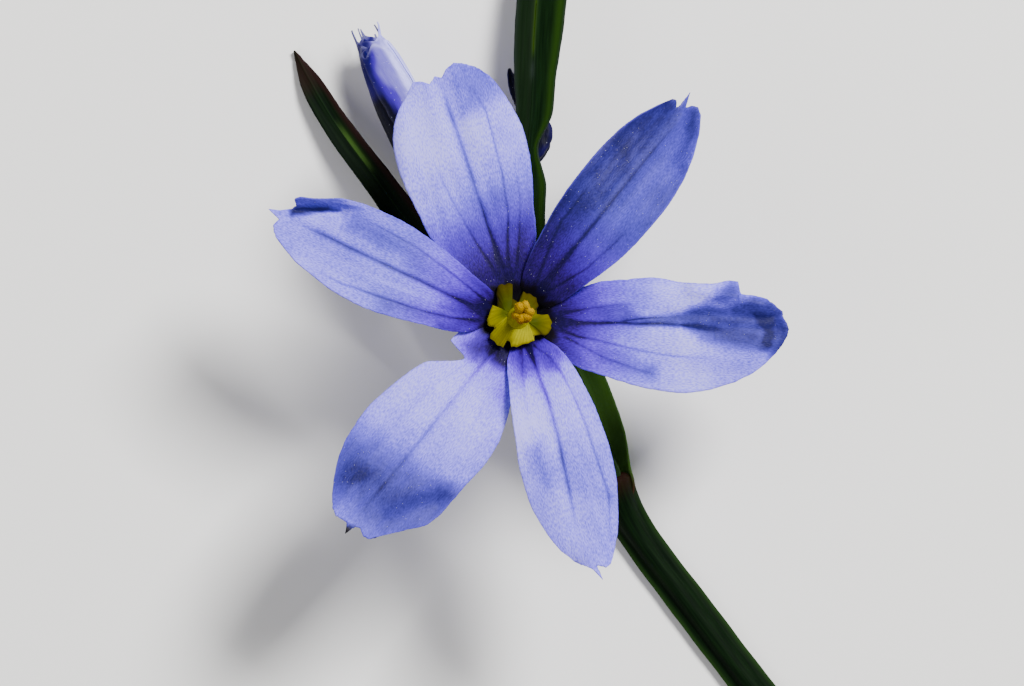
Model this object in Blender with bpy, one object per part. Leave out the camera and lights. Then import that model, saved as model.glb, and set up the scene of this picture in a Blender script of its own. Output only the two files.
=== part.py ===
"""Mountain blue-eyed grass, one picked sprig that lies on a surface with its open flower facing up.

Lengths are in millimetres and become metres as each mesh is made. X and Y lie in the surface, Z is
up, and the modelling centre is straight below the eye of the open flower. The last step moves the
sprig so that its origin is the middle of its footprint.
"""
import math

import bmesh
import bpy
from mathutils import Vector

MM = 0.001
CLEARANCE = 0.3
SHARP_EDGE = math.radians(40)

# Stem: a flat scape with a thin wing on each side, lying on its flat side.
# Stations are x, y, width, height and share of wing, from the cut end to the node.
STEM_STATIONS = (
    (28.0, -37.20, 1.95, 0.95, 1.0),
    (24.1, -33.00, 1.95, 0.95, 1.0),
    (20.0, -28.40, 1.95, 0.95, 1.0),
    (15.9, -23.50, 1.92, 0.98, 1.0),
    (11.67, -18.27, 1.88, 1.00, 1.0),
    (8.30, -13.87, 1.85, 1.05, 1.0),
    (6.47, -11.45, 1.85, 1.15, 0.9),
    (5.42, -9.85, 1.85, 1.50, 0.6),
    (4.85, -8.63, 1.95, 2.20, 0.2),
    (4.55, -7.75, 1.95, 2.48, 0.0),
)
STEM_STEP = 1.7
STEM_CORNERS = 14
WING_THICKNESS = 0.6
WING_HOLLOW = 1.5
NODE_ROUNDING = 0.3
NODE_FULLNESS = 0.3

# Bracts: two green blades folded along the keel, which grow from the node and clasp the stalks.
# Stations are x, y, height of the keel, left half, right half and slope of the halves.
BRACT_THICKNESS = 0.7
BRACT_STEP = 1.6
BRACT_COLUMNS = 6
OUTER_BRACT_STATIONS = (
    (4.45, -7.42, 0.35, 0.75, 0.88, 0.40),
    (4.05, -5.60, 0.36, 0.95, 1.00, 0.45),
    (3.15, -2.98, 0.40, 1.00, 1.02, 0.45),
    (1.55, 0.20, 0.55, 1.00, 1.02, 0.45),
    (0.55, 2.60, 1.30, 1.00, 1.00, 0.45),
    (0.30, 4.80, 2.20, 1.00, 1.00, 0.50),
    (0.37, 6.60, 2.50, 1.00, 0.98, 0.55),
    (0.46, 8.10, 2.55, 0.90, 0.52, 0.55),
    (0.56, 9.30, 2.55, 0.75, 0.46, 0.55),
    (0.64, 10.3, 2.55, 0.72, 1.05, 0.55),
    (0.73, 11.9, 2.50, 0.90, 1.12, 0.55),
    (0.82, 14.2, 2.25, 0.95, 1.38, 0.55),
    (1.15, 18.0, 1.65, 0.95, 1.45, 0.50),
    (1.75, 22.0, 1.00, 0.90, 1.12, 0.45),
    (2.45, 26.0, 0.50, 0.55, 0.62, 0.40),
    (2.95, 29.2, 0.35, 0.12, 0.12, 0.30),
)
INNER_BRACT_STATIONS = (
    (4.07, -7.52, 1.32, 0.45, 0.45, 0.05),
    (3.50, -6.60, 1.72, 0.70, 0.60, 0.20),
    (2.60, -5.45, 2.05, 0.85, 0.80, 0.35),
    (0.90, -3.40, 2.35, 0.95, 0.95, 0.45),
    (-1.40, -0.40, 2.25, 0.95, 0.95, 0.50),
    (-3.80, 2.73, 1.80, 0.88, 0.88, 0.50),
    (-5.70, 5.15, 1.52, 0.76, 0.78, 0.50),
    (-6.93, 6.83, 1.36, 0.70, 0.72, 0.48),
    (-8.09, 8.35, 1.15, 0.66, 0.66, 0.45),
    (-9.15, 9.87, 0.90, 0.63, 0.62, 0.40),
    (-10.05, 11.39, 0.60, 0.54, 0.52, 0.35),
    (-10.92, 13.05, 0.35, 0.12, 0.12, 0.30),
)

# Stalks: x, y, z of the middle line, from the node to the ovary.
STALK_RADIUS = 0.23
STALK_SIDES = 8
STALK_STEP = 0.9
STALK_ACROSS = Vector((0.8, 0.6, 0.0))
OPEN_STALK = (
    (3.98, -7.53, 2.25), (3.25, -6.35, 2.85), (2.25, -4.85, 3.30), (1.00, -2.80, 3.70),
    (0.00, -1.15, 4.10), (-0.33, -0.76, 4.75),
)
CLOSED_STALK = (
    (4.69, -7.31, 2.25), (3.95, -6.20, 2.80), (3.00, -4.60, 3.25), (2.20, -2.90, 3.12),
    (1.25, -1.10, 2.90), (-0.10, 0.80, 2.85), (-1.72, 2.10, 3.05),
)
SPENT_STALK = (
    (4.74, -7.29, 1.50), (4.25, -6.20, 1.42), (3.40, -4.80, 1.42), (2.40, -2.95, 1.50),
    (1.10, -1.00, 1.85), (-0.20, 0.60, 1.60), (-0.98, 2.40, 1.10), (-0.80, 3.90, 0.90),
    (-0.17, 4.95, 0.92),
)

# Flower axis: leans a little towards +X and +Y.
EYE_PLACE = (-0.05, -0.10)
EYE_HEIGHT = 10.0
LEAN_X = 0.071
LEAN_Y = 0.142

# Tepals: six blades 13 mm long, three outer ones below and three inner ones above. Far from the eye
# an inner tepal settles towards the outer ones, and each tepal gains its own camber and poise.
# Stations are distance from the eye, left half and right half. The tip is a row of points from
# left to right, each a sideways place (left is plus) and a distance, with its notch and bristle.
# Creases run from one point to another, each with a spread and a rise (minus is a furrow).
TEPAL_THICKNESS = 0.64
TEPAL_START = 1.25
TEPAL_LEVEL = 9.0
WHORL_STEP = 0.96
CUP_RISE = 1.6
CUP_REACH = 2.5
CUP_SLOPE = 0.05
SETTLE_DROP = 0.5
SETTLE_FROM = 6.0
SETTLE_OVER = 5.0
FREE_FROM = 4.5
FREE_OVER = 3.5
POISE_FROM = 5.0
POISE_OVER = 8.0
TEPALS = {
    "tepal_outer_top": {
        "turn": 105.3,
        "inner": False,
        "poise": 0.3,
        "camber": -0.35,
        "stations": (
            (1.25, 0.80, 0.70), (2.0, 1.00, 1.10), (3.0, 1.60, 1.50), (4.0, 2.40, 1.95),
            (5.0, 3.10, 2.15), (6.2, 3.33, 2.43), (7.5, 3.58, 2.62), (8.6, 3.68, 2.66),
            (9.7, 3.60, 2.48), (10.6, 3.30, 2.22), (11.3, 2.85, 1.95), (11.7, 2.45, 1.75),
        ),
        "tip": (
            (2.15, 12.05), (1.90, 12.36), (1.50, 12.30), (1.15, 12.05), (0.80, 12.36), (0.50, 12.20),
            (0.20, 12.55), (-0.25, 12.75), (-0.70, 12.60), (-1.10, 12.36), (-1.45, 12.05),
        ),
        "creases": (((4.5, 0.2), (12.0, 0.6), 0.5, -0.12), ((7.5, 3.4), (11.0, 3.0), 0.6, 0.25)),
    },
    "tepal_inner_upper_right": {
        "turn": 51.8,
        "inner": True,
        "poise": -0.5,
        "camber": 0.40,
        "stations": (
            (1.25, 0.85, 0.85), (2.0, 1.20, 1.20), (3.0, 1.50, 1.50), (4.0, 1.68, 1.80),
            (5.5, 1.92, 2.15), (7.0, 2.00, 2.30), (8.5, 1.98, 2.35), (10.0, 1.83, 2.20),
            (11.2, 1.53, 1.90), (12.3, 1.05, 1.45),
        ),
        "tip": (
            (0.70, 12.95), (0.50, 13.05), (0.28, 12.72), (0.10, 12.95), (0.22, 13.80),
            (-0.08, 13.05), (-0.30, 13.30), (-0.55, 13.42), (-0.88, 13.20), (-1.15, 12.80),
        ),
        "creases": (((4.5, 0.0), (12.6, -0.15), 0.5, -0.12), ((11.0, -1.9), (13.2, -0.9), 0.5, 0.40)),
    },
    "tepal_outer_right": {
        "turn": -1.7,
        "inner": False,
        "poise": -0.3,
        "camber": -0.30,
        "stations": (
            (1.25, 0.60, 0.85), (2.0, 0.80, 1.50), (3.0, 1.35, 2.22), (4.0, 1.85, 2.58),
            (5.2, 2.03, 2.95), (6.5, 2.15, 3.25), (8.0, 1.95, 3.40), (9.3, 1.92, 3.22),
            (10.2, 2.10, 2.92), (10.62, 2.05, 2.78), (10.72, 1.48, 2.72), (11.4, 1.40, 2.35),
            (12.0, 1.28, 1.88),
        ),
        "tip": (
            (1.05, 12.30), (0.70, 12.80), (0.40, 12.84), (0.10, 13.05), (-0.10, 13.12),
            (-0.40, 13.10), (-0.80, 12.90), (-1.10, 12.70), (-1.40, 12.45),
        ),
        "creases": (((7.0, 0.2), (12.4, 0.35), 0.5, -0.42), ((8.6, 1.8), (11.8, 1.1), 0.55, 0.45)),
    },
    "tepal_inner_bottom": {
        "turn": -72.2,
        "inner": True,
        "poise": 0.1,
        "camber": -0.35,
        "stations": (
            (1.25, 0.85, 0.80), (2.0, 1.45, 1.20), (3.0, 1.83, 1.42), (4.0, 2.05, 1.65),
            (5.5, 2.25, 1.90), (7.0, 2.30, 2.15), (8.5, 2.20, 2.20), (10.0, 1.85, 1.95),
            (11.1, 1.50, 1.58), (12.0, 1.05, 1.02),
        ),
        "tip": (
            (0.80, 12.42), (0.60, 12.70), (0.38, 12.78), (0.15, 12.62), (-0.04, 12.56),
            (0.05, 13.32), (-0.25, 12.68), (-0.45, 12.50), (-0.75, 12.25),
        ),
        "creases": (((4.0, 0.1), (10.5, -0.4), 0.5, -0.12),),
    },
    "tepal_outer_lower_left": {
        "turn": -128.5,
        "inner": False,
        "poise": 0.2,
        "camber": -0.30,
        "stations": (
            (1.25, 0.70, 0.65), (1.9, 1.10, 1.20), (2.4, 1.50, 1.72), (2.90, 1.95, 1.85),
            (3.02, 2.02, 1.00), (3.15, 2.10, 0.80), (3.5, 2.32, 1.08), (3.85, 2.50, 1.50),
            (4.5, 2.75, 2.20), (5.5, 3.05, 2.55), (6.6, 3.15, 2.80), (8.0, 3.05, 3.00),
            (9.5, 3.00, 2.90), (10.5, 2.80, 2.65), (11.3, 2.22, 2.30), (12.2, 1.50, 1.75),
        ),
        "tip": (
            (1.20, 12.60), (1.00, 12.85), (0.70, 12.90), (0.35, 12.68), (0.10, 12.80),
            (-0.05, 13.35), (-0.30, 12.88), (-0.60, 12.90), (-0.95, 12.95), (-1.30, 12.75),
            (-1.55, 12.45),
        ),
        "creases": (((4.0, 0.0), (12.6, 0.0), 0.5, -0.12), ((9.5, 2.4), (11.5, 1.2), 0.6, -0.20)),
    },
    "tepal_inner_left": {
        "turn": 156.6,
        "inner": True,
        "poise": 0.0,
        "camber": 0.25,
        "stations": (
            (1.25, 0.95, 0.60), (2.0, 1.60, 0.82), (3.0, 1.95, 1.12), (4.0, 2.10, 1.45),
            (5.5, 2.35, 1.83), (7.0, 2.50, 2.08), (8.5, 2.40, 2.12), (10.0, 2.05, 1.95),
            (11.0, 1.75, 1.52), (11.6, 1.45, 1.30),
        ),
        "tip": (
            (1.05, 12.30), (0.85, 12.50), (0.55, 12.65), (0.20, 12.50), (-0.05, 13.20),
            (-0.20, 12.65), (-0.50, 12.15), (-0.70, 11.98), (-1.00, 12.20), (-1.20, 11.98),
        ),
        "creases": (((10.0, -1.25), (12.1, -0.55), 0.4, -0.28), ((9.8, -2.0), (12.1, -1.1), 0.4, 0.35)),
    },
}

# Perianth tube: the short tube that the six tepals grow from, with a six-lobed yellow mouth.
# Necks are height and radius. Lobes are the turn and reach of each, in the order of TEPALS. The
# lobe rings are the share of that reach and the lift above the tepals.
TUBE_NECK = ((8.2, 0.50), (8.6, 0.75), (10.35, 0.84))
TUBE_THROAT = ((10.80, 0.62), (10.65, 0.30))
TUBE_RADIUS = 0.88
LOBES = ((110, 1.88), (52, 1.40), (-8, 1.70), (-72, 1.34), (-131, 1.66), (172, 1.47))
LOBE_RINGS = ((0.12, 0.0), (1.0, 0.0), (1.0, 0.34), (0.4, 0.34))
LOBE_VALLEY = 1.0
LOBE_NOTCH = 0.18
LOBE_FULLNESS = 4
LOBE_STEPS = 8

# Ovaries: three-cornered green bodies under each flower. The shape is place and width, as shares.
OVARY_SIDES = 12
OVARY_SHAPE = ((0.0, 0.30), (0.12, 0.62), (0.35, 0.92), (0.6, 1.0), (0.82, 0.82), (1.0, 0.50))
OVARY_TWIST = 0.4
CORNER_SWELL = 0.10
OPEN_OVARY_FOOT = 5.05
OPEN_OVARY_TOP = 7.9
OPEN_OVARY_RADIUS = 1.0
CLOSED_OVARY = ((-1.92, 2.42, 3.08), (-2.95, 4.55, 3.25))
CLOSED_OVARY_RADIUS = 0.92
SPENT_OVARY = ((0.02, 5.25, 0.94), (0.55, 7.45, 0.98))
SPENT_OVARY_RADIUS = 0.78

# Column: a slim tube of joined filaments, as height and radius.
COLUMN = ((10.95, 0.300), (11.55, 0.270), (12.15, 0.285))
COLUMN_SIDES = 10

# Anthers: lobes round the end of the column, each with its turn, distance, lift and half length.
ANTHER_MIDDLE = 12.98
ANTHER_HALF_WIDTH = 0.27
ANTHER_STRETCH = 1.35
ANTHER_LOBES = (
    (-11, 0.27, -0.12, 0.55), (46, 0.27, 0.0, 0.55), (109, 0.27, 0.12, 0.55), (166, 0.27, -0.12, 0.55),
    (229, 0.27, 0.0, 0.55), (286, 0.27, 0.12, 0.55), (0, 0.0, -0.12, 0.44),
)

# Closed flower: furled tepals, from its ovary to its bristly end. Radii are (share, radius).
CLOSED_FLOWER = ((-3.10, 4.90, 3.25), (-4.42, 7.60, 3.00), (-5.72, 10.30, 2.55), (-7.05, 13.20, 2.05))
CLOSED_FLOWER_RADII = ((0.0, 0.55), (0.15, 0.95), (0.42, 1.15), (0.68, 1.10), (0.88, 0.92), (1.0, 0.68))
CLOSED_STEP = 1.0
CLOSED_SIDES = 12
CLOSED_TWIST = 0.9
CLOSED_ACROSS = Vector((0.9, 0.4, 0.0))
CLOSED_POINT_LENGTH = 0.65
CLOSED_POINT_SPACING = 3
CLOSED_DIP = 0.2

# Spent flower: a shrivelled, twisted flower on its ovary, lying under the outer bract.
SPENT_FLOWER = (
    (0.70, 7.85, 0.98), (1.02, 8.80, 0.95), (0.72, 9.90, 0.90), (0.05, 11.0, 0.80), (-0.42, 11.9, 0.70),
)
SPENT_FLOWER_RADII = ((0.0, 0.42), (0.22, 0.68), (0.5, 0.60), (0.78, 0.50), (1.0, 0.28))
SPENT_STEP = 0.5
SPENT_SIDES = 12
SPENT_TWIST = 2.6
SPENT_FOLDS = 4
SPENT_FOLD_DEPTH = 0.16


def finish(name, colour, roughness):
    """A plain material with the colour and gloss of one part of the plant."""
    material = bpy.data.materials.new(name)
    material.use_nodes = True
    shader = material.node_tree.nodes["Principled BSDF"]
    shader.inputs["Base Color"].default_value = (*colour, 1.0)
    shader.inputs["Roughness"].default_value = roughness
    shader.inputs["Metallic"].default_value = 0.0
    return material


def smooth_rows(stations, step):
    """Rows of values through the stations, no further apart than the step, on one smooth curve."""
    rows = [tuple(stations[0])]
    last = len(stations) - 1
    for index in range(last):
        before = stations[max(index - 1, 0)]
        here = stations[index]
        there = stations[index + 1]
        after = stations[min(index + 2, last)]
        gap = math.dist(here[:2], there[:2])
        parts = max(1, math.ceil(gap / step))
        for part in range(1, parts + 1):
            t = part / parts
            rows.append(tuple(
                0.5 * (2 * b + (c - a) * t + (2 * a - 5 * b + 4 * c - d) * t ** 2
                       + (3 * b - a - 3 * c + d) * t ** 3)
                for a, b, c, d in zip(before, here, there, after)))
    return rows


def value_at(stations, place):
    """Straight-line value between (place, value) stations."""
    for (low, first), (high, second) in zip(stations, stations[1:]):
        if place <= high:
            return first + (second - first) * (place - low) / (high - low)
    return stations[-1][1]


def headings(points):
    """Unit direction of travel at each point of a path."""
    last = len(points) - 1
    return [(points[min(i + 1, last)] - points[max(i - 1, 0)]).normalized() for i in range(last + 1)]


def crossing_frames(points, side):
    """Two directions across the path at each point, carried along it without twist."""
    frames = []
    for heading in headings(points):
        side = (side - heading * side.dot(heading)).normalized()
        frames.append((side, side.cross(heading)))
    return frames


def new_piece(name, bm, material, smooth=True):
    """Object of one closed mesh, turned into metres, with its faces pointing outwards."""
    bmesh.ops.recalc_face_normals(bm, faces=bm.faces)
    bmesh.ops.scale(bm, vec=Vector((MM, MM, MM)), verts=bm.verts)
    mesh = bpy.data.meshes.new(name)
    bm.to_mesh(mesh)
    bm.free()
    if smooth:
        mesh.shade_smooth()
        mesh.set_sharp_from_angle(angle=SHARP_EDGE)
    piece = bpy.data.objects.new(name, mesh)
    piece.data.materials.append(material)
    bpy.context.scene.collection.objects.link(piece)
    return piece


def blade(name, upper, lower, material):
    """Closed blade between two like grids of points, split along the same diagonals."""
    bm = bmesh.new()
    top = [[bm.verts.new(point) for point in row] for row in upper]
    under = [[bm.verts.new(point) for point in row] for row in lower]

    def square(a, b, c, d):
        bm.faces.new((a, b, c))
        bm.faces.new((a, c, d))

    last_row = len(top) - 1
    last_column = len(top[0]) - 1
    for i in range(last_row):
        for j in range(last_column):
            square(top[i][j], top[i][j + 1], top[i + 1][j + 1], top[i + 1][j])
            square(under[i][j], under[i + 1][j], under[i + 1][j + 1], under[i][j + 1])
        square(top[i][0], top[i + 1][0], under[i + 1][0], under[i][0])
        near = (under[i][last_column], under[i + 1][last_column])
        square(*near, top[i + 1][last_column], top[i][last_column])
    for j in range(last_column):
        square(under[0][j], under[0][j + 1], top[0][j + 1], top[0][j])
        square(top[last_row][j], top[last_row][j + 1], under[last_row][j + 1], under[last_row][j])
    return new_piece(name, bm, material)


def skin(name, rings, foot, end, material):
    """Closed body through rings of points, closed at both ends by a fan to one point."""
    bm = bmesh.new()
    loops = [[bm.verts.new(point) for point in ring] for ring in rings]
    count = len(loops[0])
    for near, far in zip(loops, loops[1:]):
        for j in range(count):
            bm.faces.new((near[j], near[(j + 1) % count], far[(j + 1) % count], far[j]))
    for loop, middle in ((loops[0], foot), (loops[-1], end)):
        tip = bm.verts.new(middle)
        for j in range(count):
            bm.faces.new((loop[j], loop[(j + 1) % count], tip))
    bmesh.ops.triangulate(bm, faces=[face for face in bm.faces if len(face.verts) > 3])
    return new_piece(name, bm, material)


def round_ring(place, frame, radius, sides):
    """Ring of points round a place. The radius is a length, or a function of the angle."""
    side, up = frame
    ring = []
    for j in range(sides):
        angle = math.tau * j / sides
        reach = radius(angle) if callable(radius) else radius
        ring.append(place + (side * math.cos(angle) + up * math.sin(angle)) * reach)
    return ring


def stem_section(middle, side, width, height, wing):
    """Ring round the stem: flat below, and above either winged or, near the node, rounded."""
    ring = []
    for j in range(STEM_CORNERS):
        angle = math.tau * (j + 0.5) / STEM_CORNERS
        across = math.cos(angle)
        swell = 1 - across ** 2
        if math.sin(angle) > 0:
            winged = WING_THICKNESS + (height - WING_THICKNESS) * swell ** WING_HOLLOW
            rounded = height * swell ** NODE_FULLNESS
            lift = wing * winged + (1 - wing) * rounded
        else:
            lift = (1 - wing) * NODE_ROUNDING * across ** 2
        ring.append(middle + side * (across * width / 2) + Vector((0, 0, lift)))
    return ring


def make_stem(material):
    """Flat two-winged stem, thicker and rounder where it carries the bracts and stalks."""
    rows = smooth_rows(STEM_STATIONS, STEM_STEP)
    line = [Vector((row[0], row[1], 0.0)) for row in rows]
    rings = []
    for middle, heading, (x, y, width, height, wing) in zip(line, headings(line), rows):
        side = heading.cross(Vector((0, 0, 1)))
        rings.append(stem_section(middle, side, width, height, min(wing, 1.0)))
    ends = [sum(ring, Vector()) / STEM_CORNERS for ring in (rings[0], rings[-1])]
    return skin("stem", rings, ends[0], ends[1], material)


def make_bract(name, stations, material):
    """Pointed blade folded along its keel, both halves rising from it."""
    rows = smooth_rows(stations, BRACT_STEP)
    line = [Vector(row[:3]) for row in rows]
    upper = []
    lower = []
    for middle, heading, row in zip(line, headings(line), rows):
        left, right, slope = row[3:]
        side = heading.cross(Vector((0, 0, 1))).normalized()
        points = []
        for j in range(BRACT_COLUMNS + 1):
            share = 2 * j / BRACT_COLUMNS - 1
            across = share * (right if share > 0 else left)
            points.append(middle + side * across + Vector((0, 0, slope * abs(across))))
        upper.append([point + Vector((0, 0, BRACT_THICKNESS / 2)) for point in points])
        lower.append([point - Vector((0, 0, BRACT_THICKNESS / 2)) for point in points])
    return blade(name, upper, lower, material)


def make_stalk(name, stations, material):
    """Thin round stalk along a smooth line."""
    points = [Vector(row) for row in smooth_rows(stations, STALK_STEP)]
    frames = crossing_frames(points, STALK_ACROSS)
    rings = [round_ring(point, frame, STALK_RADIUS, STALK_SIDES) for point, frame in zip(points, frames)]
    return skin(name, rings, points[0], points[-1], material)


def on_axis(height):
    """Place on the axis of the open flower at a height above the surface."""
    rise = height - EYE_HEIGHT
    return Vector((EYE_PLACE[0] + LEAN_X * rise, EYE_PLACE[1] + LEAN_Y * rise, height))


def cup_height(x, y):
    """Height of the shallow cup that the open tepals form, leaning with the flower's axis."""
    out = max(math.hypot(x, y) - TEPAL_START, 0.0)
    return CUP_RISE * (1 - math.exp(-out / CUP_REACH)) + CUP_SLOPE * out - LEAN_X * x - LEAN_Y * y


def ease(value):
    """Smooth step from 0 to 1."""
    share = min(max(value, 0.0), 1.0)
    return share * share * (3 - 2 * share)


def crease_height(along, across, crease):
    """Rise of a crease at a point of a tepal, fading with the distance from the crease."""
    (x0, y0), (x1, y1), spread, rise = crease
    length = (x1 - x0) ** 2 + (y1 - y0) ** 2
    share = ((along - x0) * (x1 - x0) + (across - y0) * (y1 - y0)) / length
    share = min(max(share, 0.0), 1.0)
    away = math.hypot(along - x0 - share * (x1 - x0), across - y0 - share * (y1 - y0))
    return rise * math.exp(-((away / spread) ** 2))


def tepal_point(tepal, along, across, half):
    """Point of a tepal's middle surface. It is plain near the eye, where tepals overlap."""
    turn = math.radians(tepal["turn"])
    x = along * math.cos(turn) - across * math.sin(turn)
    y = along * math.sin(turn) + across * math.cos(turn)
    height = TEPAL_LEVEL + cup_height(x, y)
    if tepal["inner"]:
        height += WHORL_STEP - SETTLE_DROP * ease((along - SETTLE_FROM) / SETTLE_OVER)
    freedom = ease((along - FREE_FROM) / FREE_OVER)
    height += freedom * tepal["camber"] * (across / half) ** 2
    height += tepal["poise"] * max((along - POISE_FROM) / POISE_OVER, 0.0) ** 2
    height += freedom * sum(crease_height(along, across, crease) for crease in tepal["creases"])
    return Vector((x, y, height))


def make_tepal(name, tepal, material):
    """Thin blade of one tepal, from the tube to its notched and bristled tip."""
    columns = len(tepal["tip"]) - 1
    rows = []
    for distance, left, right in tepal["stations"]:
        row = []
        for j in range(columns + 1):
            share = 1 - 2 * j / columns
            half = left if share > 0 else right
            row.append(tepal_point(tepal, distance, share * half, half))
        rows.append(row)
    tip_half = max(abs(across) for across, distance in tepal["tip"])
    rows.append([tepal_point(tepal, distance, across, tip_half) for across, distance in tepal["tip"]])
    half_thickness = Vector((0, 0, TEPAL_THICKNESS / 2))
    upper = [[point + half_thickness for point in row] for row in rows]
    lower = [[point - half_thickness for point in row] for row in rows]
    return blade(name, upper, lower, material)


def mouth_outline():
    """Angles round the mouth of the tube with the reach of its lobes, notched in their middles."""
    outline = []
    for index, (turn, reach) in enumerate(LOBES):
        next_turn, next_reach = LOBES[(index + 1) % len(LOBES)]
        gap = (turn - next_turn) % 360
        for step in range(LOBE_STEPS):
            share = step / LOBE_STEPS
            edge = 1 - abs(2 * share - 1)
            full = reach if share < 0.5 else next_reach
            place = LOBE_VALLEY + (full - LOBE_VALLEY) * (1 - edge ** LOBE_FULLNESS)
            if step == 0:
                place -= LOBE_NOTCH
            outline.append((math.radians(turn - gap * share), place))
    return outline


def make_tube(material):
    """Perianth tube with its lobed mouth lying just above the inner tepals."""
    outline = mouth_outline()
    over_tepals = TEPAL_LEVEL + WHORL_STEP + TEPAL_THICKNESS / 2 + CLEARANCE

    def neck(height, radius):
        middle = on_axis(height)
        return [middle + Vector((math.cos(angle), math.sin(angle), 0)) * radius for angle, reach in outline]

    def lobes(share, lift):
        ring = []
        for angle, reach in outline:
            radius = TUBE_RADIUS + (reach - TUBE_RADIUS) * share
            x = EYE_PLACE[0] + math.cos(angle) * radius
            y = EYE_PLACE[1] + math.sin(angle) * radius
            ring.append(Vector((x, y, over_tepals + cup_height(x, y) + lift)))
        return ring

    rings = [neck(height, radius) for height, radius in TUBE_NECK]
    rings += [lobes(share, lift) for share, lift in LOBE_RINGS]
    rings += [neck(height, radius) for height, radius in TUBE_THROAT]
    return skin("perianth_tube", rings, on_axis(TUBE_NECK[0][0]), on_axis(TUBE_THROAT[-1][0]), material)


def three_cornered(radius, twist):
    """Radius of a rounded body with three swollen corners, as a function of the angle."""
    return lambda angle: radius * (1 + CORNER_SWELL * math.cos(3 * (angle - twist)))


def make_ovary(name, foot, top, radius, material):
    """Ovary swollen above its middle, from its stalk to the flower."""
    foot = Vector(foot)
    top = Vector(top)
    points = [foot.lerp(top, share) for share, width in OVARY_SHAPE]
    frames = crossing_frames(points, STALK_ACROSS)
    rings = [
        round_ring(point, frame, three_cornered(radius * width, OVARY_TWIST), OVARY_SIDES)
        for point, frame, (share, width) in zip(points, frames, OVARY_SHAPE)
    ]
    return skin(name, rings, foot, top, material)


def make_column(material):
    """Slim tube of the joined filaments."""
    points = [on_axis(height) for height, radius in COLUMN]
    frames = crossing_frames(points, Vector((1, 0, 0)))
    rings = [
        round_ring(point, frame, radius, COLUMN_SIDES)
        for point, frame, (height, radius) in zip(points, frames, COLUMN)
    ]
    return skin("staminal_column", rings, points[0], points[-1], material)


def make_anthers(material):
    """Three anthers of two lobes each, joined in one cluster round the end of the column."""
    middle = on_axis(ANTHER_MIDDLE)
    lobes = bpy.data.collections.new("anther_lobes")
    bpy.context.scene.collection.children.link(lobes)
    pieces = []
    for turn, distance, lift, half_length in ANTHER_LOBES:
        angle = math.radians(turn)
        sideways = Vector((math.cos(angle), math.sin(angle) * ANTHER_STRETCH, 0)) * distance
        bm = bmesh.new()
        bmesh.ops.create_uvsphere(bm, u_segments=8, v_segments=6, radius=1.0)
        size = Vector((ANTHER_HALF_WIDTH, ANTHER_HALF_WIDTH, half_length))
        bmesh.ops.scale(bm, vec=size, verts=bm.verts)
        bmesh.ops.translate(bm, vec=middle + sideways + Vector((0, 0, lift)), verts=bm.verts)
        pieces.append(new_piece("anther_lobe", bm, material))
    cluster = pieces.pop()
    cluster.name = "anthers"
    for piece in pieces:
        bpy.context.scene.collection.objects.unlink(piece)
        lobes.objects.link(piece)
    union = cluster.modifiers.new("union", "BOOLEAN")
    union.operation = "UNION"
    union.operand_type = "COLLECTION"
    union.collection = lobes
    union.solver = "EXACT"
    evaluated = cluster.evaluated_get(bpy.context.evaluated_depsgraph_get())
    joined = bpy.data.meshes.new_from_object(evaluated)
    cluster.modifiers.clear()
    cluster.data = joined
    for piece in pieces:
        bpy.data.objects.remove(piece)
    bpy.data.collections.remove(lobes)
    return cluster


def make_closed_flower(material):
    """Furled tepals in a spindle with three soft ridges, ending in a crown of points."""
    points = [Vector(row) for row in smooth_rows(CLOSED_FLOWER, CLOSED_STEP)]
    frames = crossing_frames(points, CLOSED_ACROSS)
    rings = []
    for index, (point, frame) in enumerate(zip(points, frames)):
        share = index / (len(points) - 1)
        width = value_at(CLOSED_FLOWER_RADII, share)
        rings.append(round_ring(point, frame, three_cornered(width, CLOSED_TWIST * share), CLOSED_SIDES))
    heading = headings(points)[-1]
    for j in range(0, CLOSED_SIDES, CLOSED_POINT_SPACING):
        rings[-1][j] += heading * CLOSED_POINT_LENGTH
    return skin("closed_flower", rings, points[0], points[-1] - heading * CLOSED_DIP, material)


def make_spent_flower(material):
    """Shrivelled flower, a twisted body with deep folds."""
    points = [Vector(row) for row in smooth_rows(SPENT_FLOWER, SPENT_STEP)]
    frames = crossing_frames(points, CLOSED_ACROSS)
    rings = []
    for index, (point, frame) in enumerate(zip(points, frames)):
        share = index / (len(points) - 1)
        width = value_at(SPENT_FLOWER_RADII, share)
        twist = SPENT_TWIST * share

        def folded(angle, width=width, twist=twist):
            return width * (1 + SPENT_FOLD_DEPTH * math.cos(SPENT_FOLDS * (angle - twist)))

        rings.append(round_ring(point, frame, folded, SPENT_SIDES))
    return skin("spent_flower", rings, points[0], points[-1], material)


def centre_on_footprint():
    """Moves every piece so that the origin is the middle of the footprint, on the surface."""
    pieces = list(bpy.context.scene.objects)
    corners = [Vector(vertex.co) for piece in pieces for vertex in piece.data.vertices]
    low = [min(corner[axis] for corner in corners) for axis in range(3)]
    high = [max(corner[axis] for corner in corners) for axis in range(3)]
    for piece in pieces:
        piece.location = (-(low[0] + high[0]) / 2, -(low[1] + high[1]) / 2, -low[2])


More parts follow.
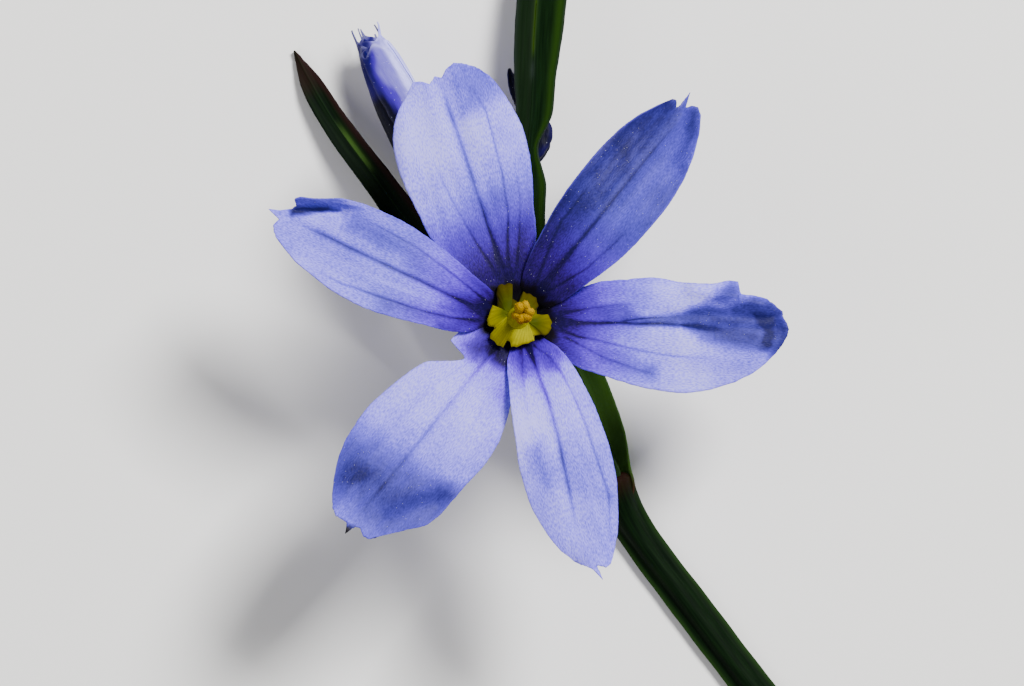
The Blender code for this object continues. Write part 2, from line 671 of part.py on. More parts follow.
def main():
    for old in list(bpy.data.objects):
        bpy.data.objects.remove(old)
    stem_green = finish("stem_green", (0.11, 0.22, 0.06), 0.5)
    bract_green = finish("bract_green", (0.06, 0.17, 0.05), 0.5)
    stalk_green = finish("stalk_green", (0.16, 0.26, 0.09), 0.5)
    lilac = finish("tepal_lilac", (0.52, 0.54, 0.88), 0.55)
    violet = finish("tepal_violet", (0.36, 0.38, 0.80), 0.55)
    yellow = finish("eye_yellow", (0.62, 0.52, 0.01), 0.5)
    orange = finish("anther_orange", (0.95, 0.52, 0.01), 0.6)
    bud_blue = finish("closed_blue", (0.20, 0.20, 0.62), 0.55)
    navy = finish("spent_navy", (0.03, 0.03, 0.10), 0.7)

    make_stem(stem_green)
    make_bract("bract_outer", OUTER_BRACT_STATIONS, bract_green)
    make_bract("bract_inner", INNER_BRACT_STATIONS, bract_green)
    make_stalk("stalk_open", OPEN_STALK, stalk_green)
    make_stalk("stalk_closed", CLOSED_STALK, stalk_green)
    make_stalk("stalk_spent", SPENT_STALK, stalk_green)
    open_ovary = (on_axis(OPEN_OVARY_FOOT), on_axis(OPEN_OVARY_TOP))
    make_ovary("ovary_open", *open_ovary, OPEN_OVARY_RADIUS, stalk_green)
    make_ovary("ovary_closed", *CLOSED_OVARY, CLOSED_OVARY_RADIUS, stalk_green)
    make_ovary("ovary_spent", *SPENT_OVARY, SPENT_OVARY_RADIUS, stalk_green)
    for name, tepal in TEPALS.items():
        make_tepal(name, tepal, violet if tepal["inner"] else lilac)
    make_tube(yellow)
    make_column(orange)
    make_anthers(orange)
    make_closed_flower(bud_blue)
    make_spent_flower(navy)
    centre_on_footprint()


main()
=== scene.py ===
import math

import bmesh
import bpy
import numpy as np
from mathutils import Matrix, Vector, noise


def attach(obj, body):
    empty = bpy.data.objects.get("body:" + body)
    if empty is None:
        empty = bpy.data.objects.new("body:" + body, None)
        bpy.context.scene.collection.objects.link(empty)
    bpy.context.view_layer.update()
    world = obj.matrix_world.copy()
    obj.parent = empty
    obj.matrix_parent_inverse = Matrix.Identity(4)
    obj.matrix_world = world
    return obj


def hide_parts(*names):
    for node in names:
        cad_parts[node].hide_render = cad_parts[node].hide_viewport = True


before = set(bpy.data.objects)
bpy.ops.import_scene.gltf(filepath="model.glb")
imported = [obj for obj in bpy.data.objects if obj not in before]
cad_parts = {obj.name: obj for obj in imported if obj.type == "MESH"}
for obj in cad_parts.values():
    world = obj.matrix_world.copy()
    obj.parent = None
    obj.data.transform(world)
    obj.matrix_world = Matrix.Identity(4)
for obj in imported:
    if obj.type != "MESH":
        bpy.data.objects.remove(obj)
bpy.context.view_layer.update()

# Stem. A flat green scape with a thin wing along each side, cut off at its lower end and a little
# swollen at the node that carries the bracts and stalks. It is lofted through cross-sections, in
# millimetres round the middle of the open flower, and lies on the surface.
MM = 0.001
FLOWER = np.array((-8.3001, 4.3153, 0.0))
STEM_LINE = (
    # x, y, width, height, share of the winged shape
    (28.0, -37.20, 1.95, 0.95, 1.0),
    (24.1, -33.00, 1.95, 0.95, 1.0),
    (20.0, -28.40, 1.95, 0.95, 1.0),
    (15.9, -23.50, 1.92, 0.98, 1.0),
    (11.67, -18.27, 1.88, 1.00, 1.0),
    (8.30, -13.87, 1.85, 1.05, 1.0),
    (6.47, -11.45, 1.85, 1.15, 0.9),
    (5.42, -9.85, 1.85, 1.50, 0.6),
    (4.85, -8.63, 1.95, 2.20, 0.2),
    (4.50, -7.62, 1.95, 2.48, 0.0),
)
STEM_SIDES = 56
STEM_STEP = 0.28
STEM_BODY = 0.56
STEM_MIDDLE = 0.40
STEM_RIBS = 7
RIB_HEIGHT = 0.010
WING_EDGE = 0.06
WING_ROOT = 0.13
ROUNDED_END = 0.55
BLUSH_LENGTH = 1.5
UNDERSIDE_SHIFT = 9
LEAF_ROUGHNESS = 0.62
LEAF_SHINE = 0.03


def smooth_rows(stations, step):
    """Rows of values on one smooth curve through the stations, no further apart than the step."""
    rows = [tuple(stations[0])]
    last = len(stations) - 1
    for index in range(last):
        before, here = stations[max(index - 1, 0)], stations[index]
        there, after = stations[index + 1], stations[min(index + 2, last)]
        parts = max(1, math.ceil(math.dist(here[:2], there[:2]) / step))
        for part in range(1, parts + 1):
            t = part / parts
            rows.append(tuple(
                0.5 * (2 * b + (c - a) * t + (2 * a - 5 * b + 4 * c - d) * t ** 2
                       + (3 * b - a - 3 * c + d) * t ** 3)
                for a, b, c, d in zip(before, here, there, after)))
    return np.array(rows)


def headings(line):
    """Unit direction of travel at each point of a line."""
    ahead = np.gradient(np.asarray(line, float), axis=0)
    return ahead / np.linalg.norm(ahead, axis=1, keepdims=True)


def distances(line):
    """Distance of each point of a line from its start, along the line."""
    return np.r_[0, np.cumsum(np.linalg.norm(np.diff(line, axis=0), axis=1))]


def turns_of(sides):
    """Angles of evenly spread points round a ring."""
    return np.arange(sides) / sides * math.tau


def grid_faces(rows, columns, ring=False, first=0):
    """Squares between neighbouring points of a grid, closed round the ring if it is one."""
    index = first + np.arange(rows * columns).reshape(rows, columns)
    if ring:
        index = np.hstack((index, index[:, :1]))
    corners = (index[:-1, :-1], index[:-1, 1:], index[1:, 1:], index[1:, :-1])
    return np.stack(corners, axis=-1).reshape(-1, 4).tolist()


def loft_faces(count, sides, first=0):
    """Faces through rings of points, and a fan at both ends round a point after the last ring."""
    faces = grid_faces(count, sides, ring=True, first=first)
    foot, last = first + count * sides, first + (count - 1) * sides
    for j in range(sides):
        after = (j + 1) % sides
        faces.append([first + after, first + j, foot])
        faces.append([last + j, last + after, foot + 1])
    return faces


def new_object(name, data):
    """New object in the scene."""
    made = bpy.data.objects.new(name, data)
    bpy.context.scene.collection.objects.link(made)
    return made


def plant_piece(name, points, faces, material, around, marks):
    """Smooth piece of the plant from points in millimetres. Around holds a distance across and along
    the piece for each point, kept as its UV map, and marks are named numbers kept as attributes."""
    mesh = bpy.data.meshes.new(name)
    mesh.from_pydata(((np.asarray(points) + FLOWER) * MM).tolist(), [], faces)
    piece = new_object(name, mesh)
    mesh.materials.append(material)
    if around is not None:
        layer = mesh.uv_layers.new(name="across_along")
        corners = np.zeros(len(mesh.loops), int)
        mesh.loops.foreach_get("vertex_index", corners)
        layer.data.foreach_set("uv", np.asarray(around, np.float32)[corners].ravel())
    for mark, values in marks.items():
        attribute = mesh.attributes.new(mark, "FLOAT", "POINT")
        attribute.data.foreach_set("value", np.asarray(values, np.float32).ravel())
    mesh.shade_smooth()
    mesh.update()
    return piece


def face_outwards(piece, seam=0.002):
    """Merges doubled points and turns every face of a closed piece outwards."""
    bm = bmesh.new()
    bm.from_mesh(piece.data)
    bmesh.ops.remove_doubles(bm, verts=bm.verts, dist=seam * MM)
    bmesh.ops.recalc_face_normals(bm, faces=bm.faces)
    bm.to_mesh(piece.data)
    bm.free()
    return piece


def lofted(name, rings, material, around, marks):
    """Closed body through rings of points, with a fan at both ends."""
    count, sides = len(rings), len(rings[0])

    def capped(values):
        """Values of all the points in a row, then the means of the first and of the last ring."""
        values = np.asarray(values, float).reshape(count, sides, -1)
        return np.concatenate((values.reshape(count * sides, -1), values[:1].mean(axis=1),
                               values[-1:].mean(axis=1)))

    full = {mark: capped(values) for mark, values in marks.items()}
    faces = loft_faces(count, sides)
    return face_outwards(plant_piece(name, capped(rings), faces, material, capped(around), full))


def take_place(piece, node):
    """Lets a piece stand for a CAD node and ride on the sprig's one body."""
    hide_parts(node)
    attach(piece, "root")


def add_node(tree, kind, inputs, **settings):
    """New node with its settings, each input set to a value or joined to an output."""
    node = tree.nodes.new(kind)
    for setting, value in settings.items():
        setattr(node, setting, value)
    for entry, value in inputs.items():
        if isinstance(value, bpy.types.NodeSocket):
            tree.links.new(value, node.inputs[entry])
        else:
            node.inputs[entry].default_value = value
    return node


def maths(tree, operation, first, second):
    """Output of an operation on two numbers or outputs."""
    return add_node(tree, "ShaderNodeMath", {0: first, 1: second}, operation=operation).outputs[0]


def noisy(tree, place, scale, detail):
    """Soft noise from 0 to 1 over a place."""
    inputs = {"Vector": place, "Scale": scale, "Detail": detail}
    return add_node(tree, "ShaderNodeTexNoise", inputs).outputs["Fac"]


def mixed(tree, first, factor, second, share=1.0):
    """Mix of an output or colour with another, by an output times a share."""
    if share != 1.0:
        factor = maths(tree, "MULTIPLY", factor, share)
    colours = [(*value, 1.0) if isinstance(value, tuple) else value for value in (first, second)]
    inputs = {"Factor": factor, "A": colours[0], "B": colours[1]}
    return add_node(tree, "ShaderNodeMix", inputs, data_type="RGBA").outputs["Result"]


def ramp(tree, factor, stops, curve):
    """Colour from a ramp through (place, colour) stops."""
    node = add_node(tree, "ShaderNodeValToRGB", {"Fac": factor})
    node.color_ramp.interpolation = curve
    bar = node.color_ramp.elements
    for index, (place, colour) in enumerate(stops):
        stop = bar[index] if index < 2 else bar.new(place)
        stop.position = place
        stop.color = (*colour, 1.0)
    return node.outputs["Color"]


def bumped(tree, height, strength, distance, **inputs):
    """Normal of a surface that a height raises by up to a distance in millimetres."""
    inputs.update({"Height": height, "Strength": strength, "Distance": distance * MM})
    return add_node(tree, "ShaderNodeBump", inputs).outputs["Normal"]


def read_mark(tree, name):
    """Output of a mark kept on the mesh."""
    return add_node(tree, "ShaderNodeAttribute", {}, attribute_name=name).outputs["Fac"]


def marked_colour(tree, colour, marked):
    """Colour under marks in colours of their own, from (mark, colour, and its share if not all)."""
    for mark, tint, *share in marked:
        colour = mixed(tree, colour, read_mark(tree, mark), tint, *share)
    return colour


def uv_place(tree):
    """Output of a piece's distances across and along it."""
    return add_node(tree, "ShaderNodeUVMap", {}, uv_map="across_along").outputs["UV"]


def stretched(tree, place, across, along):
    """Place with its distance across and along times a number or output each."""
    split = add_node(tree, "ShaderNodeSeparateXYZ", {0: place})
    inputs = {axis: maths(tree, "MULTIPLY", split.outputs[axis], times)
              for axis, times in (("X", across), ("Y", along))}
    return add_node(tree, "ShaderNodeCombineXYZ", inputs).outputs[0]


def new_group(name, inputs, outputs):
    """New shader node group with named numbers in and out, and its inputs as outputs to join."""
    group = bpy.data.node_groups.new(name, "ShaderNodeTree")
    for label, start in inputs.items():
        entry = group.interface.new_socket(label, in_out="INPUT", socket_type="NodeSocketFloat")
        entry.default_value = start
    for label in outputs:
        group.interface.new_socket(label, in_out="OUTPUT", socket_type="NodeSocketFloat")
    return group, group.nodes.new("NodeGroupInput").outputs


def new_skin(name, roughness, shine):
    """New material with its tree and its shader, whose constants are set."""
    material = bpy.data.materials.new(name)
    material.use_nodes = True
    shader = material.node_tree.nodes["Principled BSDF"]
    shader.inputs["Roughness"].default_value = roughness
    shader.inputs["Specular IOR Level"].default_value = shine
    return material, material.node_tree, shader


def finish_skin(tree, shader, colour, normal=None):
    """Joins a colour, and a normal if there is one, to a skin's shader."""
    tree.links.new(colour, shader.inputs["Base Color"])
    if normal is not None:
        tree.links.new(normal, shader.inputs["Normal"])


# Fine streaks along a blade, as a mask and as a height, from its distances across and along.
leaf_streaks, streak_inputs = new_group(
    "leaf_streaks", {"Across": 9.0, "Along": 0.35, "Grain": 40.0}, ("Streaks", "Grain height"))
blade_place = uv_place(leaf_streaks)
streak_place = stretched(leaf_streaks, blade_place, streak_inputs["Across"], streak_inputs["Along"])
add_node(leaf_streaks, "NodeGroupOutput", {
    "Streaks": noisy(leaf_streaks, streak_place, scale=1.0, detail=3.0),
    "Grain height": noisy(leaf_streaks, blade_place, scale=streak_inputs["Grain"], detail=1.0)})


def leaf_skin(name, deep, bright, marked):
    """Living green skin: streaks from deep to bright, and marks in colours of their own. Marked is a
    list of (attribute, colour)."""
    material, tree, shader = new_skin(name, LEAF_ROUGHNESS, LEAF_SHINE)
    streaks = add_node(tree, "ShaderNodeGroup", {}, node_tree=leaf_streaks).outputs
    colour = ramp(tree, streaks["Streaks"], ((0.30, deep), (0.72, bright)), "EASE")
    ridges = bumped(tree, streaks["Streaks"], strength=0.5, distance=0.03)
    grained = bumped(tree, streaks["Grain height"], strength=0.35, distance=0.012, Normal=ridges)
    finish_skin(tree, shader, marked_colour(tree, colour, marked), grained)
    return material


stem_skin = leaf_skin(
    "stem_skin", (0.0008, 0.0036, 0.0011), (0.0028, 0.0098, 0.0023),
    (("wing", (0.011, 0.032, 0.005)), ("blush", (0.040, 0.012, 0.008)), ("cut", (0.30, 0.42, 0.14))))

stem_rows = smooth_rows(STEM_LINE, STEM_STEP)
stem_heading = headings(np.c_[stem_rows[:, :2], np.zeros(len(stem_rows))])
stem_length = distances(stem_rows[:, :2])
angles = turns_of(STEM_SIDES)
above = np.sin(angles) >= 0
level_with = np.abs(np.sin(angles)) < 1e-6
across = np.sign(np.cos(angles)) * np.abs(np.cos(angles)) ** 0.8
swell = 1 - across ** 2
ribs = RIB_HEIGHT * np.cos(STEM_RIBS * math.tau * across / 2.2) * swell
web = WING_EDGE + WING_ROOT * swell
stem_rings, stem_around = [], []
stem_marks = {"wing": [], "blush": [], "cut": []}
for row, (x, y, width, height, wing) in enumerate(stem_rows):
    wing = min(wing, 1.0)
    to_end = stem_length[-1] - stem_length[row]
    body = np.clip(1 - (np.abs(across) / (STEM_BODY + 0.30 * (1 - wing))) ** 2.2, 0, 1) ** 0.55
    middle = STEM_MIDDLE * wing + 0.5 * height * (1 - wing)
    top = (wing * (middle + np.maximum((height - middle) * body, web) + ribs)
           + (1 - wing) * (middle + (height - middle) * swell ** 0.45))
    under = (wing * (middle - np.maximum(middle * body, web))
             + (1 - wing) * (middle - middle * swell ** 0.45))
    lift = np.where(level_with, middle, np.where(above, top, under))
    ripple = 1 + 0.012 * math.sin(stem_length[row] * 0.9) + 0.008 * math.sin(stem_length[row] * 2.7)
    side = np.array((stem_heading[row][1], -stem_heading[row][0], 0.0))
    ring = np.array((x, y, 0.0)) + side * (across * width / 2 * ripple)[:, None]
    ring[:, 2] = np.maximum(lift, 0.0)
    rounded = np.sqrt(np.clip(1 - max(1 - to_end / ROUNDED_END, 0) ** 2, 0.02, 1))
    centre = ring.mean(axis=0)
    stem_rings.append(centre + (ring - centre) * (0.35 + 0.65 * rounded))
    stem_around.append(np.c_[across * width / 2 + np.where(above, 0, UNDERSIDE_SHIFT),
                             np.full(STEM_SIDES, stem_length[row])])
    stem_marks["wing"].append(np.clip((np.abs(across) - 0.72) * 4, 0, 1) * (0.35 + 0.45 * wing))
    stem_marks["blush"].append(
        np.full(STEM_SIDES, 0.75 * np.clip(1 - to_end / BLUSH_LENGTH, 0, 1) ** 1.5))
    stem_marks["cut"].append(np.full(STEM_SIDES, 1.0 if row == 0 else 0.0))
take_place(lofted("stem", stem_rings, stem_skin, stem_around, stem_marks), "stem")

# Bracts. Two green blades grow from the node, folded along the keel, and clasp the stalks at their
# foot. The long outer one runs up behind the flower and the short inner one has a purple margin.
# Each is a thin double skin round its middle surface, thickest at the keel.
BRACT_COLUMNS = 33
BRACT_STEP = 0.24
CLASP_LENGTH = 5.5
CAD_HALF = 0.35
OUTER_BRACT_LINE = (
    # x, y, z, half width on the left, half width on the right, rise of the sides
    (4.98, -8.95, 0.80, 0.60, 0.60, 0.30),
    (4.80, -8.40, 0.80, 0.98, 0.98, 0.40),
    (4.45, -7.42, 0.82, 1.04, 1.08, 0.40),
    (4.05, -5.60, 0.74, 1.00, 1.14, 0.42),
    (3.15, -2.98, 0.52, 1.00, 1.06, 0.45),
    (1.55, 0.20, 0.55, 1.00, 1.02, 0.45),
    (0.55, 2.60, 1.30, 1.00, 1.00, 0.45),
    (0.30, 4.80, 2.20, 1.00, 1.00, 0.50),
    (0.37, 6.60, 2.50, 1.00, 0.98, 0.55),
    (0.46, 8.10, 2.55, 0.90, 0.50, 0.55),
    (0.52, 8.85, 2.55, 0.80, 0.60, 0.55),
    (0.59, 9.60, 2.55, 0.74, 0.92, 0.55),
    (0.64, 10.3, 2.55, 0.72, 1.07, 0.55),
    (0.73, 11.9, 2.50, 0.90, 1.12, 0.55),
    (0.82, 14.2, 2.25, 0.95, 1.38, 0.55),
    (1.15, 18.0, 1.65, 0.95, 1.45, 0.50),
    (1.75, 22.0, 1.00, 0.90, 1.12, 0.45),
    (2.45, 26.0, 0.50, 0.55, 0.62, 0.40),
    (2.95, 29.2, 0.35, 0.03, 0.03, 0.30),
)
INNER_BRACT_LINE = (
    (4.30, -7.90, 1.20, 0.40, 0.40, 0.05),
    (3.50, -6.60, 1.72, 0.70, 0.60, 0.20),
    (2.60, -5.45, 2.05, 0.85, 0.80, 0.35),
    (0.90, -3.40, 2.35, 0.95, 0.95, 0.45),
    (-1.40, -0.40, 2.25, 0.95, 0.95, 0.50),
    (-3.80, 2.73, 1.80, 0.88, 0.88, 0.50),
    (-5.70, 5.15, 1.52, 0.76, 0.78, 0.50),
    (-6.93, 6.83, 1.36, 0.70, 0.72, 0.48),
    (-8.09, 8.35, 1.15, 0.66, 0.66, 0.45),
    (-9.15, 9.87, 0.90, 0.63, 0.62, 0.40),
    (-10.05, 11.39, 0.60, 0.54, 0.52, 0.35),
    (-10.92, 13.05, 0.35, 0.03, 0.03, 0.30),
)


def ease(value):
    """Smooth step from 0 to 1."""
    share = np.clip(value, 0.0, 1.0)
    return share * share * (3 - 2 * share)


def bell(value, width):
    """1 where a value is 0, falling off smoothly over a width."""
    return np.exp(-(value / width) ** 2)


def wander(values, seed, scale):
    """Soft noise from -1 to 1 along a row of values."""
    return np.array([noise.noise(Vector((float(v) * scale, seed, 0.37))) for v in np.ravel(values)])


def double_skin(name, middle, thickness, material, around, marks):
    """Closed thin blade round a grid of middle points, with its own thickness at each. The mark
    named under is 1 on the lower skin."""
    rows, columns = middle.shape[:2]
    normal = np.cross(np.gradient(middle, axis=0), np.gradient(middle, axis=1))
    normal /= np.maximum(np.linalg.norm(normal, axis=2, keepdims=True), 1e-9)
    normal *= np.where(normal[:, :, 2:].sum() > 0, 1.0, -1.0)
    offset = normal * thickness[:, :, None] / 2
    points = np.concatenate(((middle + offset).reshape(-1, 3), (middle - offset).reshape(-1, 3)))
    count = rows * columns
    upper = grid_faces(rows, columns)
    faces = upper + [[corner + count for corner in reversed(face)] for face in upper]
    index = np.arange(count).reshape(rows, columns)
    rim = np.concatenate((index[0], index[1:, -1], index[-1, -2::-1], index[-2:0:-1, 0]))
    for here, there in zip(rim, np.roll(rim, -1)):
        faces.append([int(here), int(there), int(there + count), int(here + count)])
    full = {mark: np.tile(np.ravel(values), 2) for mark, values in marks.items()}
    full["under"] = np.r_[np.zeros(count), np.ones(count)]
    around = np.tile(around.reshape(-1, 2), (2, 1))
    return face_outwards(plant_piece(name, points, faces, material, around, full), seam=0.0001)


def folded_bract(name, line, material, clasp, seed, marks):
    """Blade folded along its keel. Clasp is how far its foot wraps upwards, and marks is a function
    of the distance along, the distance across and the share of the half width."""
    rows = smooth_rows(line, BRACT_STEP)
    length = distances(rows[:, :3])[:, None]
    ahead = headings(rows[:, :3])
    side = np.c_[ahead[:, 1], -ahead[:, 0], np.zeros(len(rows))]
    side /= np.linalg.norm(side, axis=1, keepdims=True)
    share = np.linspace(-1, 1, BRACT_COLUMNS)[None, :]
    toothed = 0.018 * wander(length, seed, 2.1)[:, None] * np.abs(share) ** 6
    across = share * np.where(share > 0, rows[:, 4:5], rows[:, 3:4]) + toothed * np.sign(share)
    wave = 0.05 * wander(length, seed + 3, 0.33)[:, None] * share ** 2
    wrap = clasp * ease(1 - length / CLASP_LENGTH) * np.abs(share) ** 2.2
    ribs = 0.005 * np.cos(across * math.tau / 0.17)
    settle = (CAD_HALF - 0.16) * ease((1.5 - rows[:, 2:3]) / 1.0)
    middle = rows[:, None, :3] + side[:, None, :] * (across * (1 - 0.10 * wrap))[:, :, None]
    middle[:, :, 2] += rows[:, 5:6] * np.abs(across) + wrap + wave + ribs - settle
    thickness = 0.11 + 0.20 * bell(across, 0.16) + 0.05 * (1 - np.abs(share))
    length, share = (np.broadcast_to(values, across.shape) for values in (length, share))
    around = np.stack((across, length), axis=2)
    return double_skin(name, middle, thickness, material, around, marks(length, across, share))


def outer_marks(along, across, share):
    """Bright keel above a small pale point, a bright right margin, a dull left one, a reddish foot."""
    point = np.exp(-((across + 0.03) / 0.12) ** 2 - ((along - 22.3) / 0.40) ** 2)
    edges = 0.6 * ease((np.abs(share) - 0.93) / 0.07) + 0.35 * ease((-share - 0.75) / 0.2)
    low_right = ease(1 - along / 9) * ease(share / 0.5)
    return {
        "keel": bell(across + 0.03, 0.10) * ease((along - 22.7) / 0.8),
        "margin": np.clip(0.95 * bell(share - 0.84, 0.16) + 0.5 * low_right, 0, 1),
        "dull": np.clip(edges + 1.6 * point, 0, 1),
        # Painted shade: the left half is made darker to take back the light that falls on it.
        "left": 0.70 * ease((-share - 0.02) / 0.2) * ease((along - 9) / 3),
        # Partly painted light: the foot is a paler green, its own paler inner side, lightened further
        # where the tepals shade it.
        "foot": ease(1 - along / 8.5) * ease((along - 0.3) / 1.4),
        "blush": 0.85 * ease(1 - along / 2.0) + 0.20 * ease(1 - along / 4) * ease((share - 0.5) * 2),
    }


def inner_marks(along, across, share):
    """Purple-red right margin and tip, and a lighter green streak beside the keel that is a painted
    highlight.
    """
    lit_streak = bell(across - 0.14, 0.13) * ease((along - 18.8) / 1.2) * ease((22.4 - along) / 1.6)
    right = ease((share - 0.45) / 0.45) * ease((along - 11) / 4)
    return {
        "keel": 0.6 * bell(across, 0.07),
        "painted_highlight": 0.8 * lit_streak,
        "margin": np.clip(0.95 * right + 0.70 * ease((along - 23.4) / 1.4), 0, 1),
    }


# Outer bract skin. Its left mark is painted shade and its foot mark is partly painted light.
outer_skin = leaf_skin(
    "outer_bract_skin", (0.0016, 0.0066, 0.0017), (0.0042, 0.0150, 0.0034),
    (("under", (0.0085, 0.0240, 0.0080)), ("margin", (0.0115, 0.034, 0.0028)),
     ("keel", (0.036, 0.080, 0.0040)), ("left", (0.0021, 0.0068, 0.0016)),
     ("dull", (0.010, 0.017, 0.012)), ("blush", (0.040, 0.015, 0.009)), ("foot", (0.070, 0.165, 0.022))))
# Inner bract skin: the light green streak beside its keel is a painted highlight.
inner_skin = leaf_skin(
    "inner_bract_skin", (0.0010, 0.0036, 0.0014), (0.0023, 0.0074, 0.0020),
    (("under", (0.0075, 0.0210, 0.0080)), ("keel", (0.010, 0.028, 0.008)),
     ("painted_highlight", (0.030, 0.068, 0.010)), ("margin", (0.0125, 0.0052, 0.0044))))
outer_bract = folded_bract(
    "outer_bract", OUTER_BRACT_LINE, outer_skin, clasp=0.62, seed=4.0, marks=outer_marks)
take_place(outer_bract, "bract_outer")
inner_bract = folded_bract(
    "inner_bract", INNER_BRACT_LINE, inner_skin, clasp=0.7, seed=9.0, marks=inner_marks)
take_place(inner_bract, "bract_inner")

# Stalks and ovaries. Three thin green stalks rise from the node between the bracts, each to a
# three-cornered ovary with a seam between its corners. They are lofted along their own lines, and
# each stalk runs a little way into the node and into its ovary.
STALK_RADIUS = 0.23
STALK_SIDES = 16
STALK_STEP = 0.16
OVARY_SIDES = 60
OVARY_ROWS = 44
CORNER_TURN = 0.4
FIRST_SIDE = (0.8, 0.6, 0.0)
EYE = np.array((-0.05, -0.10, 10.0))
LEAN = np.array((0.071, 0.142, 1.0))
OPEN_STALK = (
    (4.18, -7.80, 1.95), (3.98, -7.53, 2.25), (3.25, -6.35, 2.85), (2.25, -4.85, 3.30),
    (1.00, -2.80, 3.70), (0.00, -1.15, 4.10), (-0.33, -0.76, 4.75), (-0.40, -0.80, 5.10),
)
CLOSED_STALK = (
    (4.78, -7.70, 2.0), (4.69, -7.31, 2.25), (3.95, -6.20, 2.80), (3.00, -4.60, 3.25),
    (2.20, -2.90, 3.12), (1.25, -1.10, 2.90), (-0.10, 0.80, 2.85), (-1.72, 2.10, 3.05),
    (-1.95, 2.48, 3.08),
)
SPENT_STALK = (
    (4.80, -7.75, 1.50), (4.25, -6.20, 1.42), (3.40, -4.80, 1.42), (2.40, -2.95, 1.50),
    (1.10, -1.00, 1.85), (-0.20, 0.60, 1.60), (-0.98, 2.40, 1.10), (-0.80, 3.90, 0.90),
    (0.02, 5.30, 0.94),
)
OVARY_SHAPE = (
    # place along, share of the width
    (0.0, 0.24), (0.06, 0.48), (0.14, 0.66), (0.35, 0.93), (0.58, 1.0), (0.80, 0.86), (0.92, 0.62),
    (1.0, 0.46),
)

stalk_skin = leaf_skin(
    "stalk_skin", (0.010, 0.030, 0.008), (0.026, 0.062, 0.014), (("seam", (0.007, 0.020, 0.006)),))


def straight(place, stations):
    """Value on straight lines between (place, value) stations."""
    return np.interp(place, *np.array(stations).T)


def lumps(turns, places, round_scale, along_scale, across_shift=0.0, along_shift=0.0):
    """Soft noise from -1 to 1 over a ringed body, one row for each place along it."""
    return np.array([[noise.noise(Vector((
        math.cos(turn) * round_scale + across_shift, math.sin(turn) * round_scale,
        place * along_scale + along_shift))) for turn in turns] for place in places])


def rings_along(line, radii):
    """Rings round a line, carried along it without twist. Radii has a row for each point, with one
    radius for each side of the ring."""
    turns = turns_of(radii.shape[1])[:, None]
    side = np.array(FIRST_SIDE)
    rings = []
    for point, ahead, radius in zip(line, headings(line), radii):
        side = side - ahead * side.dot(ahead)
        side /= np.linalg.norm(side)
        spokes = side * np.cos(turns) + np.cross(side, ahead) * np.sin(turns)
        rings.append(point + spokes * radius[:, None])
    return rings


def tube_along(name, line, radii, material, marks):
    """Body lofted along a line, with its distances round and along it."""
    around = (radii.mean() * turns_of(radii.shape[1]) + 0 * radii,
              np.broadcast_to(distances(line)[:, None], radii.shape))
    return lofted(name, rings_along(line, radii), material, np.stack(around, axis=2), marks)


def stalk(name, stations, node, seed):
    """Thin stalk, faintly two-edged, on a smooth line."""
    line = smooth_rows(stations, STALK_STEP)
    rows = np.arange(len(line))
    swell = 1 + 0.05 * wander(rows * STALK_STEP, seed, 0.8)
    radii = STALK_RADIUS * swell[:, None] * (1 + 0.10 * np.cos(2 * turns_of(STALK_SIDES)))[None, :]
    radii *= 1 - 0.08 * ease(1 - rows / 6)[:, None]
    piece = tube_along(name, line, radii, stalk_skin, {"seam": np.zeros_like(radii)})
    take_place(piece, node)


def ovary(name, node, foot, top, radius, seed):
    """Three-cornered ovary with a seam in the middle of each side."""
    places = np.linspace(0, 1, OVARY_ROWS)
    line = np.array(foot) + (np.array(top) - np.array(foot)) * places[:, None]
    turns = turns_of(OVARY_SIDES)
    width = straight(places, OVARY_SHAPE)
    width = np.convolve(np.r_[width[:2], width, width[-2:]], np.ones(5) / 5, "valid")
    corner = np.cos(3 * (turns - CORNER_TURN))
    seam = np.exp(-((1 + corner) / 0.06))
    rough = lumps(turns, places, round_scale=3, along_scale=9, along_shift=seed)
    radii = radius * width[:, None] * (1 + 0.10 * corner - 0.045 * seam + 0.012 * rough)
    seam = 0.7 * seam[None, :] * ease(width * 1.4 - 0.4)[:, None]
    take_place(tube_along(name, line, radii, stalk_skin, {"seam": seam}), node)


stalk("open_flower_stalk", OPEN_STALK, "stalk_open", seed=1.0)
stalk("closed_flower_stalk", CLOSED_STALK, "stalk_closed", seed=2.0)
stalk("spent_flower_stalk", SPENT_STALK, "stalk_spent", seed=3.0)
ovary("open_flower_ovary", "ovary_open", foot=EYE + LEAN * -4.95, top=EYE + LEAN * -1.78,
      radius=1.0, seed=1.0)
ovary("closed_flower_ovary", "ovary_closed", foot=(-1.92, 2.42, 3.08), top=(-3.06, 4.80, 3.26),
      radius=0.92, seed=2.0)
ovary("spent_flower_ovary", "ovary_spent", foot=(0.02, 5.25, 0.94), top=(0.66, 7.75, 0.98),
      radius=0.78, seed=3.0)
